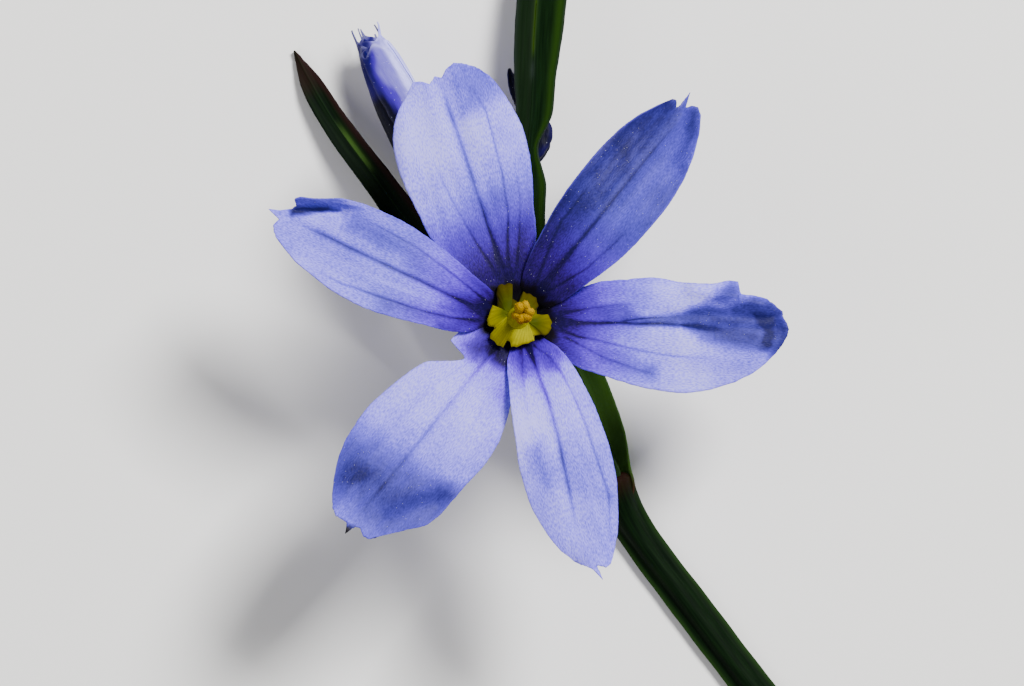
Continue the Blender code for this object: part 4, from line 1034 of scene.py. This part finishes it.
# Eye. The tube that the six tepals grow from, opened above into six thin yellow lobes with ragged
# ends, olive green down in the throat. It is lofted up the outside, out under the lobes, over their
# rims and down into the throat, and each lobe bends down onto its tepal.
EYE_LOBES = (
    # how brown it is, points round the lobe clockwise, seen from above
    (0.965, ((-0.98, 0.62), (-0.97, 1.00), (-1.01, 1.26), (-0.93, 1.66), (-0.76, 1.76), (-0.60, 1.68),
            (-0.42, 1.80), (-0.22, 1.74), (-0.25, 1.38), (-0.33, 0.98))),
    (0.96, ((0.02, 0.74), (0.16, 1.12), (0.29, 1.36), (0.44, 1.22), (0.60, 1.25), (0.76, 1.10),
            (0.93, 1.04), (0.94, 0.82), (1.03, 0.64), (0.90, 0.48))),
    (0.82, ((0.88, 0.22), (1.18, 0.20), (1.50, 0.25), (1.58, 0.06), (1.70, -0.14), (1.62, -0.30),
            (1.66, -0.42), (1.50, -0.68), (1.34, -0.78), (1.12, -0.74))),
    (0.20, ((0.62, -0.80), (0.84, -1.04), (0.66, -1.09), (0.53, -1.18), (0.26, -1.22), (-0.02, -1.36),
            (-0.20, -1.31), (-0.30, -1.35), (-0.34, -1.16), (-0.40, -1.05))),
    (0.34, ((-0.52, -1.03), (-0.60, -1.18), (-0.68, -1.36), (-0.80, -1.28), (-0.96, -1.26),
            (-1.10, -1.06), (-1.32, -0.90), (-1.29, -0.68), (-1.20, -0.60), (-1.09, -0.48))),
    (0.46, ((-1.10, -0.38), (-1.34, -0.34), (-1.45, -0.26), (-1.42, -0.14), (-1.48, -0.04), (-1.38, 0.20),
            (-1.32, 0.40), (-1.20, 0.68), (-1.10, 0.44), (-1.02, 0.24))),
)
TUBE_OUTSIDE = (
    # height, radius
    (7.75, 0.40), (8.10, 0.50), (8.45, 0.70), (8.80, 0.79), (9.40, 0.82), (9.90, 0.84), (10.15, 0.86),
)
THROAT = ((10.79, 0.36), (10.78, 0.30), (10.72, 0.22))
TUBE_TONE = 0.4
TUBE_HALF = 0.84
THROAT_HALF = 0.42
LOBE_LEVEL = 10.78
LOBE_COLUMNS = 30
LOBE_ROWS = 12


def leaning(across, height):
    """Place of a point at a distance from the flower's own axis and at a height along it."""
    height = np.broadcast_to(height, across.shape[:-1])
    x = EYE[0] + LEAN[0] * (height - EYE[2]) + across[..., 0]
    y = EYE[1] + LEAN[1] * (height - EYE[2]) + across[..., 1]
    return np.stack((x, y, height - LEAN[0] * across[..., 0] - LEAN[1] * across[..., 1]), axis=-1)


def ring_around(turns, along):
    """Distances round and along a body made of rings that share their turns."""
    return np.stack(np.broadcast_arrays(turns[None, :], np.asarray(along)[:, None] * 0.1), axis=2)


def object_place(tree):
    """Output of a piece's own place in metres."""
    return add_node(tree, "ShaderNodeTexCoord", {}).outputs["Object"]


# Ragged mouth of the tube: its points, how brown their lobe is and their share across it.
lobe_edge = []
lobe_shares = np.tile(np.linspace(-1, 1, LOBE_COLUMNS), len(EYE_LOBES))
lobe_tones = np.repeat([tone for tone, outline in reversed(EYE_LOBES)], LOBE_COLUMNS)
for tone, outline in reversed(EYE_LOBES):
    outline = np.array(outline)[::-1]
    length = distances(outline)
    places = (np.arange(LOBE_COLUMNS) + 0.5) / LOBE_COLUMNS * length[-1]
    lobe_edge.append(np.stack([np.interp(places, length, values) for values in outline.T], axis=1))
lobe_edge = np.concatenate(lobe_edge)
lobe_reach = np.linalg.norm(lobe_edge, axis=1)
first_turn = np.arctan2(lobe_edge[0, 1], lobe_edge[0, 0])
tube_turns = np.linspace(first_turn, first_turn - math.tau, len(lobe_edge), endpoint=False)
spokes = np.stack((np.cos(tube_turns), np.sin(tube_turns)), axis=1)
flute = 0.012 * np.cos(lobe_shares * 7) - 0.04 * lobe_shares ** 4
clear_green = 0.66 + 0.34 * ease((lobe_tones - 0.36) / 0.08)
tube_rings, tube_marks = [], {"olive": [], "dark": [], "tone": []}


def add_ring(across, height, **marks):
    """Adds one more ring of the tube with its marks."""
    tube_rings.append(leaning(across, height))
    for mark, values in marks.items():
        tube_marks[mark].append(np.broadcast_to(values, len(spokes)))


# The top of the tube's outside and the underside of the lobes are marked dark as painted shade under the
# tepals and lobes.
for height, radius in TUBE_OUTSIDE:
    add_ring(spokes * radius, height, olive=0.7, dark=0.6 * (height > 9.0), tone=TUBE_TONE)
for under in (True, False):
    for step in range(LOBE_ROWS + 1):
        share = step / LOBE_ROWS if under else 1 - step / LOBE_ROWS
        out = spokes * (TUBE_HALF if under else THROAT_HALF) * (1 - share) + lobe_edge * share
        way = np.clip((np.linalg.norm(out, axis=1) - THROAT_HALF) / (lobe_reach - THROAT_HALF), 0, 1)
        top = LOBE_LEVEL + 0.10 * np.sin(way * math.pi) - 0.55 * way ** 2.2 * (lobe_reach - 0.55)
        bend = flute * np.sin(np.clip(way * 1.4, 0, 1) * math.pi / 2)
        thick = 0.10 * (1 - way) + 0.11 + 0.35 * (1 - share) ** 3
        add_ring(out, top + bend - (thick if under else 0.0),
                 olive=np.clip(1.8 * (1 - share), 0, 1) * clear_green, dark=0.8 if under else 0.0,
                 tone=TUBE_TONE + (lobe_tones - TUBE_TONE) * ease(share / 0.5))
for height, radius in THROAT:
    add_ring(spokes * radius, height, olive=1.0, dark=0.0, tone=TUBE_TONE)

# Yellow skin of the lobes: olive where marked, browner by lobe, finely streaked outwards. Where
# marked dark it is painted shade under the lobes and on the top of the tube's outside, and on the
# column the dark seams between the filaments.
eye_skin, tree, shader = new_skin("eye_skin", roughness=0.6, shine=0.03)
streak_place = stretched(tree, uv_place(tree), across=16.0, along=1.2)
streaks = noisy(tree, streak_place, scale=1.0, detail=2.0)
blots = level(tree, noisy(tree, object_place(tree), scale=3.2 / MM, detail=3.0), 0.45, 0.75)
bands = level(tree, streaks, 0.38, 0.66)
colour = mixed(tree, (0.560, 0.515, 0.0003), bands, (0.310, 0.275, 0.0003), 0.6)
colour = marked_colour(tree, colour, (
    ("tone", (0.028, 0.018, 0.0008)), ("olive", (0.026, 0.036, 0.0004), 0.93)))
colour = mixed(tree, colour, blots, (0.075, 0.075, 0.0005), 0.15)
colour = marked_colour(tree, colour, (("dark", (0.020, 0.012, 0.020), 0.9),))
finish_skin(tree, shader, colour, bumped(tree, streaks, strength=0.4, distance=0.02))

tube_around = ring_around(tube_turns, range(len(tube_rings)))
tube = lofted("perianth_tube", tube_rings, eye_skin, tube_around, tube_marks)
take_place(tube, "perianth_tube")

# Column and anthers. The three filaments are joined into one slim olive column with a swollen foot,
# and three anthers of two lobes each stand round its end, golden, with painted shade in deep orange
# below and between their lobes, rough with pollen grains that are scattered over them by Geometry
# Nodes.
COLUMN_PROFILE = (
    # height, radius
    (10.45, 0.30), (10.66, 0.44), (10.80, 0.56), (10.88, 0.52), (11.02, 0.44), (11.30, 0.37),
    (11.70, 0.31), (12.45, 0.29), (12.70, 0.20),
)
COLUMN_ROWS = 40
COLUMN_SIDES = 36
ANTHER_MIDDLE = 12.98
ANTHERS = (
    # turn, distance from the axis, lift, half length
    (-26, 0.205, 0.04, 0.58), (106, 0.155, 0.16, 0.60), (224, 0.205, -0.12, 0.60),
)
ANTHER_SHIFT = np.array((0.075, -0.060, 0.0))
ANTHER_SPLAY = 16.0
ANTHER_WIDTH = 0.25
ANTHER_ROWS = 19
ANTHER_SIDES = 28
POLLEN_LENGTH = 0.030
POLLEN_WIDTH = 0.022

column_turns = turns_of(COLUMN_SIDES)
column_heights = np.linspace(COLUMN_PROFILE[0][0], COLUMN_PROFILE[-1][0], COLUMN_ROWS)[:, None]
column_seam = np.exp(-((1 + np.cos(3 * column_turns)) / 0.05))
column_radii = gentle(column_heights, COLUMN_PROFILE) * (1 - 0.05 * column_seam)
column_spokes = np.stack((np.cos(column_turns), np.sin(column_turns)), axis=1)
column_rings = leaning(column_spokes * column_radii[:, :, None], column_heights)
green_foot = 0.45 * np.clip(np.cos(column_turns - 2.3), 0, 1) * ease((11.1 - column_heights) / 0.3)
column_marks = {
    "olive": np.clip(0.42 - (column_heights - 10.4) * 0.1, 0.25, 1) + green_foot,
    "dark": np.broadcast_to(0.06 * column_seam, column_radii.shape),
    "tone": np.full(column_radii.shape, 0.35)}
column_around = ring_around(column_turns, column_heights[:, 0])
column = lofted("filament_column", column_rings, eye_skin, column_around, column_marks)
take_place(column, "staminal_column")

# Golden anther skin, with painted shade in deep orange where it faces down or sinks between the lobes.
anther_skin, tree, shader = new_skin("anther_skin", roughness=0.7, shine=0.02)
place = object_place(tree)
crumbs = add_node(tree, "ShaderNodeTexVoronoi", {"Vector": place, "Scale": 14.0 / MM}).outputs["Distance"]
patches = level(tree, noisy(tree, place, scale=2.6 / MM, detail=4.0), 0.35, 0.70)
colour = mixed(tree, (0.25, 0.135, 0.0003), patches, (0.31, 0.198, 0.0003), 0.8)
colour = marked_colour(tree, colour, (("deep", (0.16, 0.046, 0.0003)),))
colour = mixed(tree, colour, crumbs, (0.30, 0.195, 0.0003), 0.30)
finish_skin(tree, shader, colour, bumped(tree, crumbs, strength=0.9, distance=0.035))

# Rounded, slightly lumpy lobes, two to an anther, with a crease where the two meet.
axis = LEAN / np.linalg.norm(LEAN)
axis_foot = EYE + LEAN * (ANTHER_MIDDLE - EYE[2]) + ANTHER_SHIFT
lobe_turns = turns_of(ANTHER_SIDES)
lobe_places = 2 * np.arange(ANTHER_ROWS) / (ANTHER_ROWS - 1) - 1
lobe_widths = ANTHER_WIDTH * np.maximum(1 - np.abs(lobe_places) ** 2.6, 0) ** 0.5
anther_points, anther_faces = [], []
for index, (turn, distance, lift, half_length) in enumerate(ANTHERS):
    x, y = math.cos(math.radians(turn)), math.sin(math.radians(turn))
    outwards, sideways = np.array((x, y * 1.25, 0.0)), np.array((-y, x, 0.0))
    up = axis + outwards * math.tan(math.radians(ANTHER_SPLAY)) * 0.4
    up /= np.linalg.norm(up)
    for hand in (1, -1):
        side = sideways * hand
        middle = axis_foot + outwards * distance + side * 0.15 + axis * (lift + 0.05 * hand)
        reach = (side * np.cos(lobe_turns)[:, None]
                 + np.cross(side, up) * np.sin(lobe_turns)[:, None] * 1.12)
        lumpy = 1 + 0.13 * lumps(lobe_turns, lobe_places, round_scale=1.6, along_scale=2.4,
                                 across_shift=3.0 * index + hand)
        lumpy -= 0.16 * bell(np.cos(lobe_turns) - 1, 0.10)
        rings = (middle + up * half_length * lobe_places[:, None, None]
                 + reach * (lobe_widths[:, None] * lumpy)[:, :, None])
        anther_faces += loft_faces(ANTHER_ROWS, ANTHER_SIDES, first=sum(map(len, anther_points)))
        anther_points += [rings.reshape(-1, 3), rings[:1].mean(axis=1), rings[-1:].mean(axis=1)]
anther_points = np.concatenate(anther_points)
# Painted shade: deep orange on the lower side of the anthers, low down, and close to the axis between the
# lobes.
away = anther_points - axis_foot
beside = np.linalg.norm(away - np.outer(away @ axis, axis), axis=1)
facing = away @ np.array((0.15, -0.9, 0.0)) / 0.5
anther_painted_shade = np.clip(0.85 * ease(facing - 0.1) + 0.55 * ease((0.15 - (away @ axis) / 0.6) * 1.3)
                      + 0.45 * bell(beside, 0.13), 0, 1)
anthers = face_outwards(
    plant_piece("anthers", anther_points, anther_faces, anther_skin, None, {"deep": anther_painted_shade}))


def scattered(piece, name, grain, material, density, size, spread, seed):
    """Grains over a piece from a small node tree, made into a plain piece of their own."""
    tree = bpy.data.node_groups.new(name, "GeometryNodeTree")
    tree.interface.new_socket("Geometry", in_out="INPUT", socket_type="NodeSocketGeometry")
    chosen = {}
    for label, kind, value in (("Grain", "Object", grain), ("Skin", "Material", material),
                               ("Density", "Float", density), ("Size", "Float", size),
                               ("Spread", "Float", spread)):
        entry = tree.interface.new_socket(label, in_out="INPUT", socket_type="NodeSocket" + kind)
        chosen[entry.identifier] = value
    tree.interface.new_socket("Geometry", in_out="OUTPUT", socket_type="NodeSocketGeometry")
    given = tree.nodes.new("NodeGroupInput").outputs
    spots = add_node(tree, "GeometryNodeDistributePointsOnFaces", {
        "Mesh": given["Geometry"], "Density": given["Density"], "Seed": seed}).outputs
    shape = add_node(tree, "GeometryNodeObjectInfo", {"Object": given["Grain"]}).outputs["Geometry"]
    sizes = add_node(tree, "FunctionNodeRandomValue", {
        2: maths(tree, "SUBTRACT", given["Size"], given["Spread"]),
        3: maths(tree, "ADD", given["Size"], given["Spread"]), "Seed": seed + 1}).outputs[1]
    placed = add_node(tree, "GeometryNodeInstanceOnPoints", {
        "Points": spots["Points"], "Instance": shape, "Rotation": spots["Rotation"], "Scale": sizes})
    real = add_node(tree, "GeometryNodeRealizeInstances", {"Geometry": placed.outputs["Instances"]})
    skinned = add_node(tree, "GeometryNodeSetMaterial", {
        "Geometry": real.outputs["Geometry"], "Material": given["Skin"]})
    add_node(tree, "NodeGroupOutput", {"Geometry": skinned.outputs["Geometry"]})
    modifier = piece.modifiers.new(name, "NODES")
    modifier.node_group = tree
    for identifier, value in chosen.items():
        modifier[identifier] = value
    bpy.context.view_layer.update()
    seen = bpy.context.evaluated_depsgraph_get()
    mesh = bpy.data.meshes.new_from_object(
        piece.evaluated_get(seen), preserve_all_data_layers=True, depsgraph=seen)
    piece.modifiers.remove(modifier)
    return new_object(name, mesh)


# Pollen, in small eight-sided grains, their long way along Z before they are scattered.
pollen_skin, tree, shader = new_skin("pollen_skin", roughness=0.6, shine=0.03)
cloudy = noisy(tree, object_place(tree), scale=5.0 / MM, detail=2.0)
finish_skin(tree, shader, mixed(tree, (0.34, 0.22, 0.0003), cloudy, (0.21, 0.10, 0.0003)))
grain_width, grain_length = POLLEN_WIDTH * MM, POLLEN_LENGTH * MM
grain_mesh = bpy.data.meshes.new("pollen_grain")
grain_mesh.from_pydata(
    [(grain_width, 0, 0), (0, grain_width, 0), (-grain_width, 0, 0), (0, -grain_width, 0),
     (0, 0, grain_length), (0, 0, -grain_length)], [],
    [(0, 1, 4), (1, 2, 4), (2, 3, 4), (3, 0, 4), (1, 0, 5), (2, 1, 5), (3, 2, 5), (0, 3, 5)])
pollen_grain = new_object("pollen_grain", grain_mesh)
pollen = scattered(anthers, "pollen", pollen_grain, pollen_skin, density=60.0 / MM ** 2,
                   size=1.0, spread=0.35, seed=4)
bpy.data.objects.remove(pollen_grain)
take_place(anthers, "anthers")
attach(pollen, "root")

# Closed flower. Six tepals furled round each other in a spiral on their own ovary, with their bristle
# points standing free at different lengths. Whitish lilac on the side that faces the light, blue and
# navy on the left: partly their own colour and partly painted light and shade, with painted highlights
# on the rims. Each is a thin double skin wrapped round the same line.
CLOSED_LINE = (
    (-3.06, 4.80, 3.26), (-4.42, 7.60, 3.00), (-5.72, 10.30, 2.55), (-7.05, 13.20, 2.05),
    (-7.68, 14.60, 1.80),
)
CLOSED_WIDTHS = (
    # place along, radius
    (0.0, 0.48), (0.12, 0.88), (0.36, 1.13), (0.58, 1.10), (0.76, 0.94), (0.87, 0.70), (1.0, 0.42),
)
CLOSED_BLADES = (
    # middle turn, layer, length of the wide part, length of the bristle, lean of the bristle
    (-14.0, 1.0, 0.862, 0.062, 0.50), (108.0, 1.0, 0.880, 0.070, 0.10), (232.0, 1.0, 0.855, 0.050, 0.16),
    (48.0, 0.84, 0.885, 0.045, 0.05), (170.0, 0.84, 0.862, 0.095, 0.12),
    (292.0, 0.84, 0.872, 0.060, 0.02),
)
CLOSED_TWIST = 70.0
BLADE_HALF_TURN = 94
BLADE_ROWS = 124
BRISTLE_ROWS = 44
BLADE_COLUMNS = 33
INNER_LAYER = 0.9
BLUE_EDGE = (
    # place along, how far towards the light the blue side reaches
    (0.0, 0.35), (0.40, 0.12), (0.56, -0.16), (0.64, -0.38), (0.72, -0.54), (0.79, -0.30),
    (0.86, -0.02),
)
BLUE_REACH = (
    # place along, width of the fading from blue to lilac
    (0.0, 0.80), (0.55, 0.90), (0.63, 0.88), (0.72, 1.05), (0.85, 1.1),
)

# Skin of a furled flower from its marks: pale, blue, navy and deep violet, ribbed lengthwise, with
# painted glints. The navy mark also carries painted shade, and the pale edge is a painted highlight.
furled_skin, tree, shader = new_skin("furled_skin", roughness=0.55, shine=0.06)
cells = add_node(tree, "ShaderNodeGroup", {"Cell length": 4.0}, node_tree=petal_cells).outputs
blots = level(tree, cells["Blotches"], 0.35, 0.70)
colour = mixed(tree, (0.50, 0.50, 0.98), blots, (0.28, 0.25, 0.85), 0.5)
colour = marked_colour(tree, colour, (("blue", (0.034, 0.008, 0.27)),))
colour = mixed(tree, colour, level(tree, cells["Cells"], 0.42, 0.68), (0.05, 0.03, 0.34), 0.22)
colour = marked_colour(tree, colour, (
    ("navy_and_shade", (0.0022, 0.0024, 0.010)), ("deep", (0.0045, 0.0012, 0.078)),
    ("edge", (0.45, 0.44, 0.85), 0.45)))
# Painted glints: the scattered dots are mixed towards white.
colour = mixed(tree, colour, cells["Glint dots"], (0.80, 0.82, 0.92), 0.6)
finish_skin(tree, shader, colour, bumped(tree, cells["Cells"], strength=0.8, distance=0.03))

closed_line = smooth_rows(CLOSED_LINE, step=0.12)


def furled_blade(turn, layer, wide, bristle, lean, seed):
    """Middle surface, thickness, UV map, turns, places along and shares across of one tepal wrapped
    round the flower's line. Its wide part ends at a share of the line's length, and a thin bristle
    stands on from there."""
    places = np.r_[np.linspace(0.0, wide - 0.045, BLADE_ROWS - BRISTLE_ROWS),
                   np.linspace(wide - 0.04, wide + bristle, BRISTLE_ROWS)]
    rows, share = places[:, None], np.linspace(1, -1, BLADE_COLUMNS)[None, :]
    track = np.linspace(0, 1, len(closed_line))
    ahead = headings(closed_line)
    side = np.cross(ahead, (0.0, 0.0, 1.0))
    side /= np.linalg.norm(side, axis=1, keepdims=True)
    centre, side, up = (np.stack([np.interp(places, track, axis) for axis in values.T], axis=1)
                        for values in (closed_line, side, np.cross(side, ahead)))
    close = ease((rows - wide + 0.035) / 0.05)
    half_turn = (np.radians(BLADE_HALF_TURN) * (1 - close) ** 0.8
                 + 0.12 * (1 - ease((rows - wide) / bristle)) + 0.03)
    jag = 1 + 0.03 * wander(places * 30, seed, 0.9)[:, None]
    phi = np.radians(turn) + np.radians(CLOSED_TWIST) * rows + share * (half_turn * jag)
    width = gentle(rows, CLOSED_WIDTHS) * layer
    spiral = 1 + 0.075 * share * (1 - 0.5 * close)
    crimp = 0.018 * np.cos(share * 17) + 0.02 * wander(places * 12, seed + 3, 0.8)[:, None]
    flare = lean * ease((rows - wide + 0.02) / (bristle + 0.02)) ** 1.5
    radius = width * (spiral + crimp) + flare
    ragged = 0.22 * np.cos(share * 9 + seed) * ease((rows - wide + 0.12) / 0.12) * (1 - close)
    middle = centre[:, None] + (headings(centre)[:, None] * ragged[:, :, None]
                                + side[:, None] * (np.cos(phi) * radius)[:, :, None]
                                + up[:, None] * (np.sin(phi) * radius)[:, :, None])
    thickness = 0.10 * (1 - 0.5 * np.abs(share)) * (1 - 0.5 * close)
    around = np.stack(np.broadcast_arrays(phi * width, rows * 10.5), axis=2)
    return middle, thickness, around, phi, rows, share


def furled_marks(index, layer, wide, phi, rows, share):
    """Colours of one furled tepal, graded by which way it faces the light, partly its own colour and
    partly painted light and shade. It is pale towards the light and blue away from it, with blue lines
    along it, navy as painted shade low on the left and navy at its point, deep violet as painted shade
    high on the left, and pale at its edge as a painted highlight."""
    inner = layer < INNER_LAYER
    # Seen is how far each point faces the light, from -1 on the left to 1 on the right; colour graded by
    # it is painted light and shade.
    seen = np.cos(phi) - 0.25 * inner + 0.16 * blotched(phi * 5.5, rows * 5, 6.0 + index)
    edge_line, reach = straight(rows, BLUE_EDGE), straight(rows, BLUE_REACH)
    upper = ease((rows - 0.60) / 0.12)
    left = ease((edge_line + 0.12 - seen) / 0.34)
    fading = 2 - 1.1 * ease((rows - 0.58) / 0.10)
    blue = 1.05 * (1 - np.clip((seen - edge_line) / reach, 0, 1) ** fading)
    blue = np.clip(blue + 0.20 * blotched(phi * 1.4, rows * 9, 4.0), 0, 1)
    blue = np.maximum(blue, 0.78 * (1 - ease((seen - 0.34) / 0.34)))
    blue += 0.30 * bell((share * 3.5 + 0.5) % 1 - 0.5, 0.09) * ease((rows - 0.3) / 0.3) * (1 - blue)
    tips = ease((rows - wide + 0.01) / 0.02)
    rim = ease((np.abs(share) - 0.93) / 0.07) * 0.35 + 0.9 * bell(rows - wide + 0.03, 0.012)
    return {
        "blue": np.clip(np.maximum(blue, 0.75 * inner) * (1 - tips) + 0.2 * tips, 0, 1),
        "navy_and_shade": np.clip(left * (1 - upper) + 0.65 * tips, 0, 1) * (1 - (index == 0) * tips),
        "deep": np.clip(left * upper + inner * 0.6 * upper, 0, 1) * (1 - 0.8 * tips),
        "edge": np.clip(rim * (1 - 0.6 * left) * (1 - tips), 0, 1)}


closed_whole = bmesh.new()
for index, (turn, layer, wide, bristle, lean) in enumerate(CLOSED_BLADES):
    middle, thickness, around, *placed = furled_blade(
        turn, layer, wide, bristle, lean, seed=40.0 + index)
    blade_marks = furled_marks(index, layer, wide, *placed)
    blade = double_skin("closed_blade", middle, thickness, furled_skin, around, blade_marks)
    closed_whole.from_mesh(blade.data)
    bpy.data.objects.remove(blade)
closed_mesh = bpy.data.meshes.new("closed_flower")
closed_whole.to_mesh(closed_mesh)
closed_whole.free()
closed_mesh.materials.append(furled_skin)
take_place(new_object("closed_flower", closed_mesh), "closed_flower")

# Spent flower. The faded tepals of an older flower, twisted tightly together and dried to a crumpled
# navy tail on their ovary. It is one lofted body with twisted pleats.
SPENT_LINE = (
    (0.66, 7.70, 0.98), (1.02, 8.80, 0.95), (0.72, 9.90, 0.90), (0.05, 11.00, 0.80),
    (-0.34, 11.80, 0.70), (-0.42, 12.20, 0.66),
)
SPENT_WIDTHS = ((0.0, 0.36), (0.20, 0.62), (0.45, 0.56), (0.72, 0.38), (0.90, 0.20), (1.0, 0.05))
SPENT_TWIST = 2.3
SPENT_PLEATS = 5
SPENT_SIDES = 72
spent_line = smooth_rows(SPENT_LINE, step=0.07)
spent_places = np.linspace(0, 1, len(spent_line))[:, None]
spent_turns = turns_of(SPENT_SIDES)
pleats = np.cos(spent_turns * SPENT_PLEATS + spent_places * SPENT_TWIST * math.tau)
crumple = (lumps(spent_turns, spent_places[:, 0], round_scale=1.7, along_scale=8.0)
           + 0.5 * lumps(spent_turns, spent_places[:, 0], round_scale=4.5, along_scale=21.0))
spent_radii = gentle(spent_places, SPENT_WIDTHS) * (
    1 + 0.10 * np.sign(pleats) * np.abs(pleats) ** 0.6 + 0.16 * crumple)
# Navy all over, fullest in the troughs of the pleats as painted shade, with deep violet on the crests as
# a painted highlight.
spent_marks = {
    "blue": np.ones_like(crumple),
    "navy_and_shade": np.clip(0.98 + 0.2 * np.exp(-((1 + pleats) / 0.16)) - 0.16 * crumple, 0.9, 1),
    "deep": np.clip(0.25 * pleats - 0.06, 0, 0.14),
    "edge": np.zeros_like(crumple)}
spent_flower = tube_along("spent_flower", spent_line, spent_radii, furled_skin, spent_marks)
take_place(spent_flower, "spent_flower")

# Surface, light and camera. A pale plain surface, a large soft light up on the right, a weaker one
# on the left and an even sky, seen from straight above the open flower through a long lens.
VIEW_WIDTH = 49.6
VIEW_MIDDLE = np.array((-0.29, -1.21))
LENS_HEIGHT = 1.2
SENSOR_WIDTH = 36.0
EYE_LEVEL = 10.0
SURFACE_REACH = 0.9
SURFACE_DROP = 0.00002

surface_mesh = bpy.data.meshes.new("surface")
surface_mesh.from_pydata(
    [(x * SURFACE_REACH, y * SURFACE_REACH, 0) for x, y in ((-1, -1), (1, -1), (1, 1), (-1, 1))], [],
    [(0, 1, 2, 3)])
pale_surface, tree, shader = new_skin("pale_surface", roughness=0.9, shine=0.2)
shader.inputs["Base Color"].default_value = (0.78, 0.77, 0.75, 1)
surface_mesh.materials.append(pale_surface)
surface = new_object("surface", surface_mesh)
surface.location.z = -SURFACE_DROP


def soft_light(name, place, size, power):
    """Square area light aimed at the open flower."""
    lamp = bpy.data.lights.new(name, "AREA")
    lamp.size = size
    lamp.energy = power
    light = new_object(name, lamp)
    light.location = place
    target = Vector((FLOWER * MM).tolist()) + Vector((0, 0, EYE_LEVEL * MM))
    light.rotation_euler = (target - light.location).to_track_quat("-Z", "Y").to_euler()


soft_light("key_light", (0.16, 0.20, 0.34), size=0.12, power=4.3)
soft_light("fill_light", (-0.30, -0.16, 0.30), size=0.30, power=0.6)
sky = bpy.data.worlds.new("studio")
sky.use_nodes = True
sky.node_tree.nodes["Background"].inputs["Color"].default_value = (1, 1, 1, 1)
sky.node_tree.nodes["Background"].inputs["Strength"].default_value = 0.40
bpy.context.scene.world = sky

camera = new_object("camera", bpy.data.cameras.new("camera"))
camera.data.sensor_width = SENSOR_WIDTH
camera.data.lens = SENSOR_WIDTH * (LENS_HEIGHT / MM - EYE_LEVEL) / VIEW_WIDTH
camera.data.clip_start = 0.05
camera.data.clip_end = 5.0
camera.location = (*((FLOWER[:2] + VIEW_MIDDLE) * MM), LENS_HEIGHT)
bpy.context.scene.camera = camera
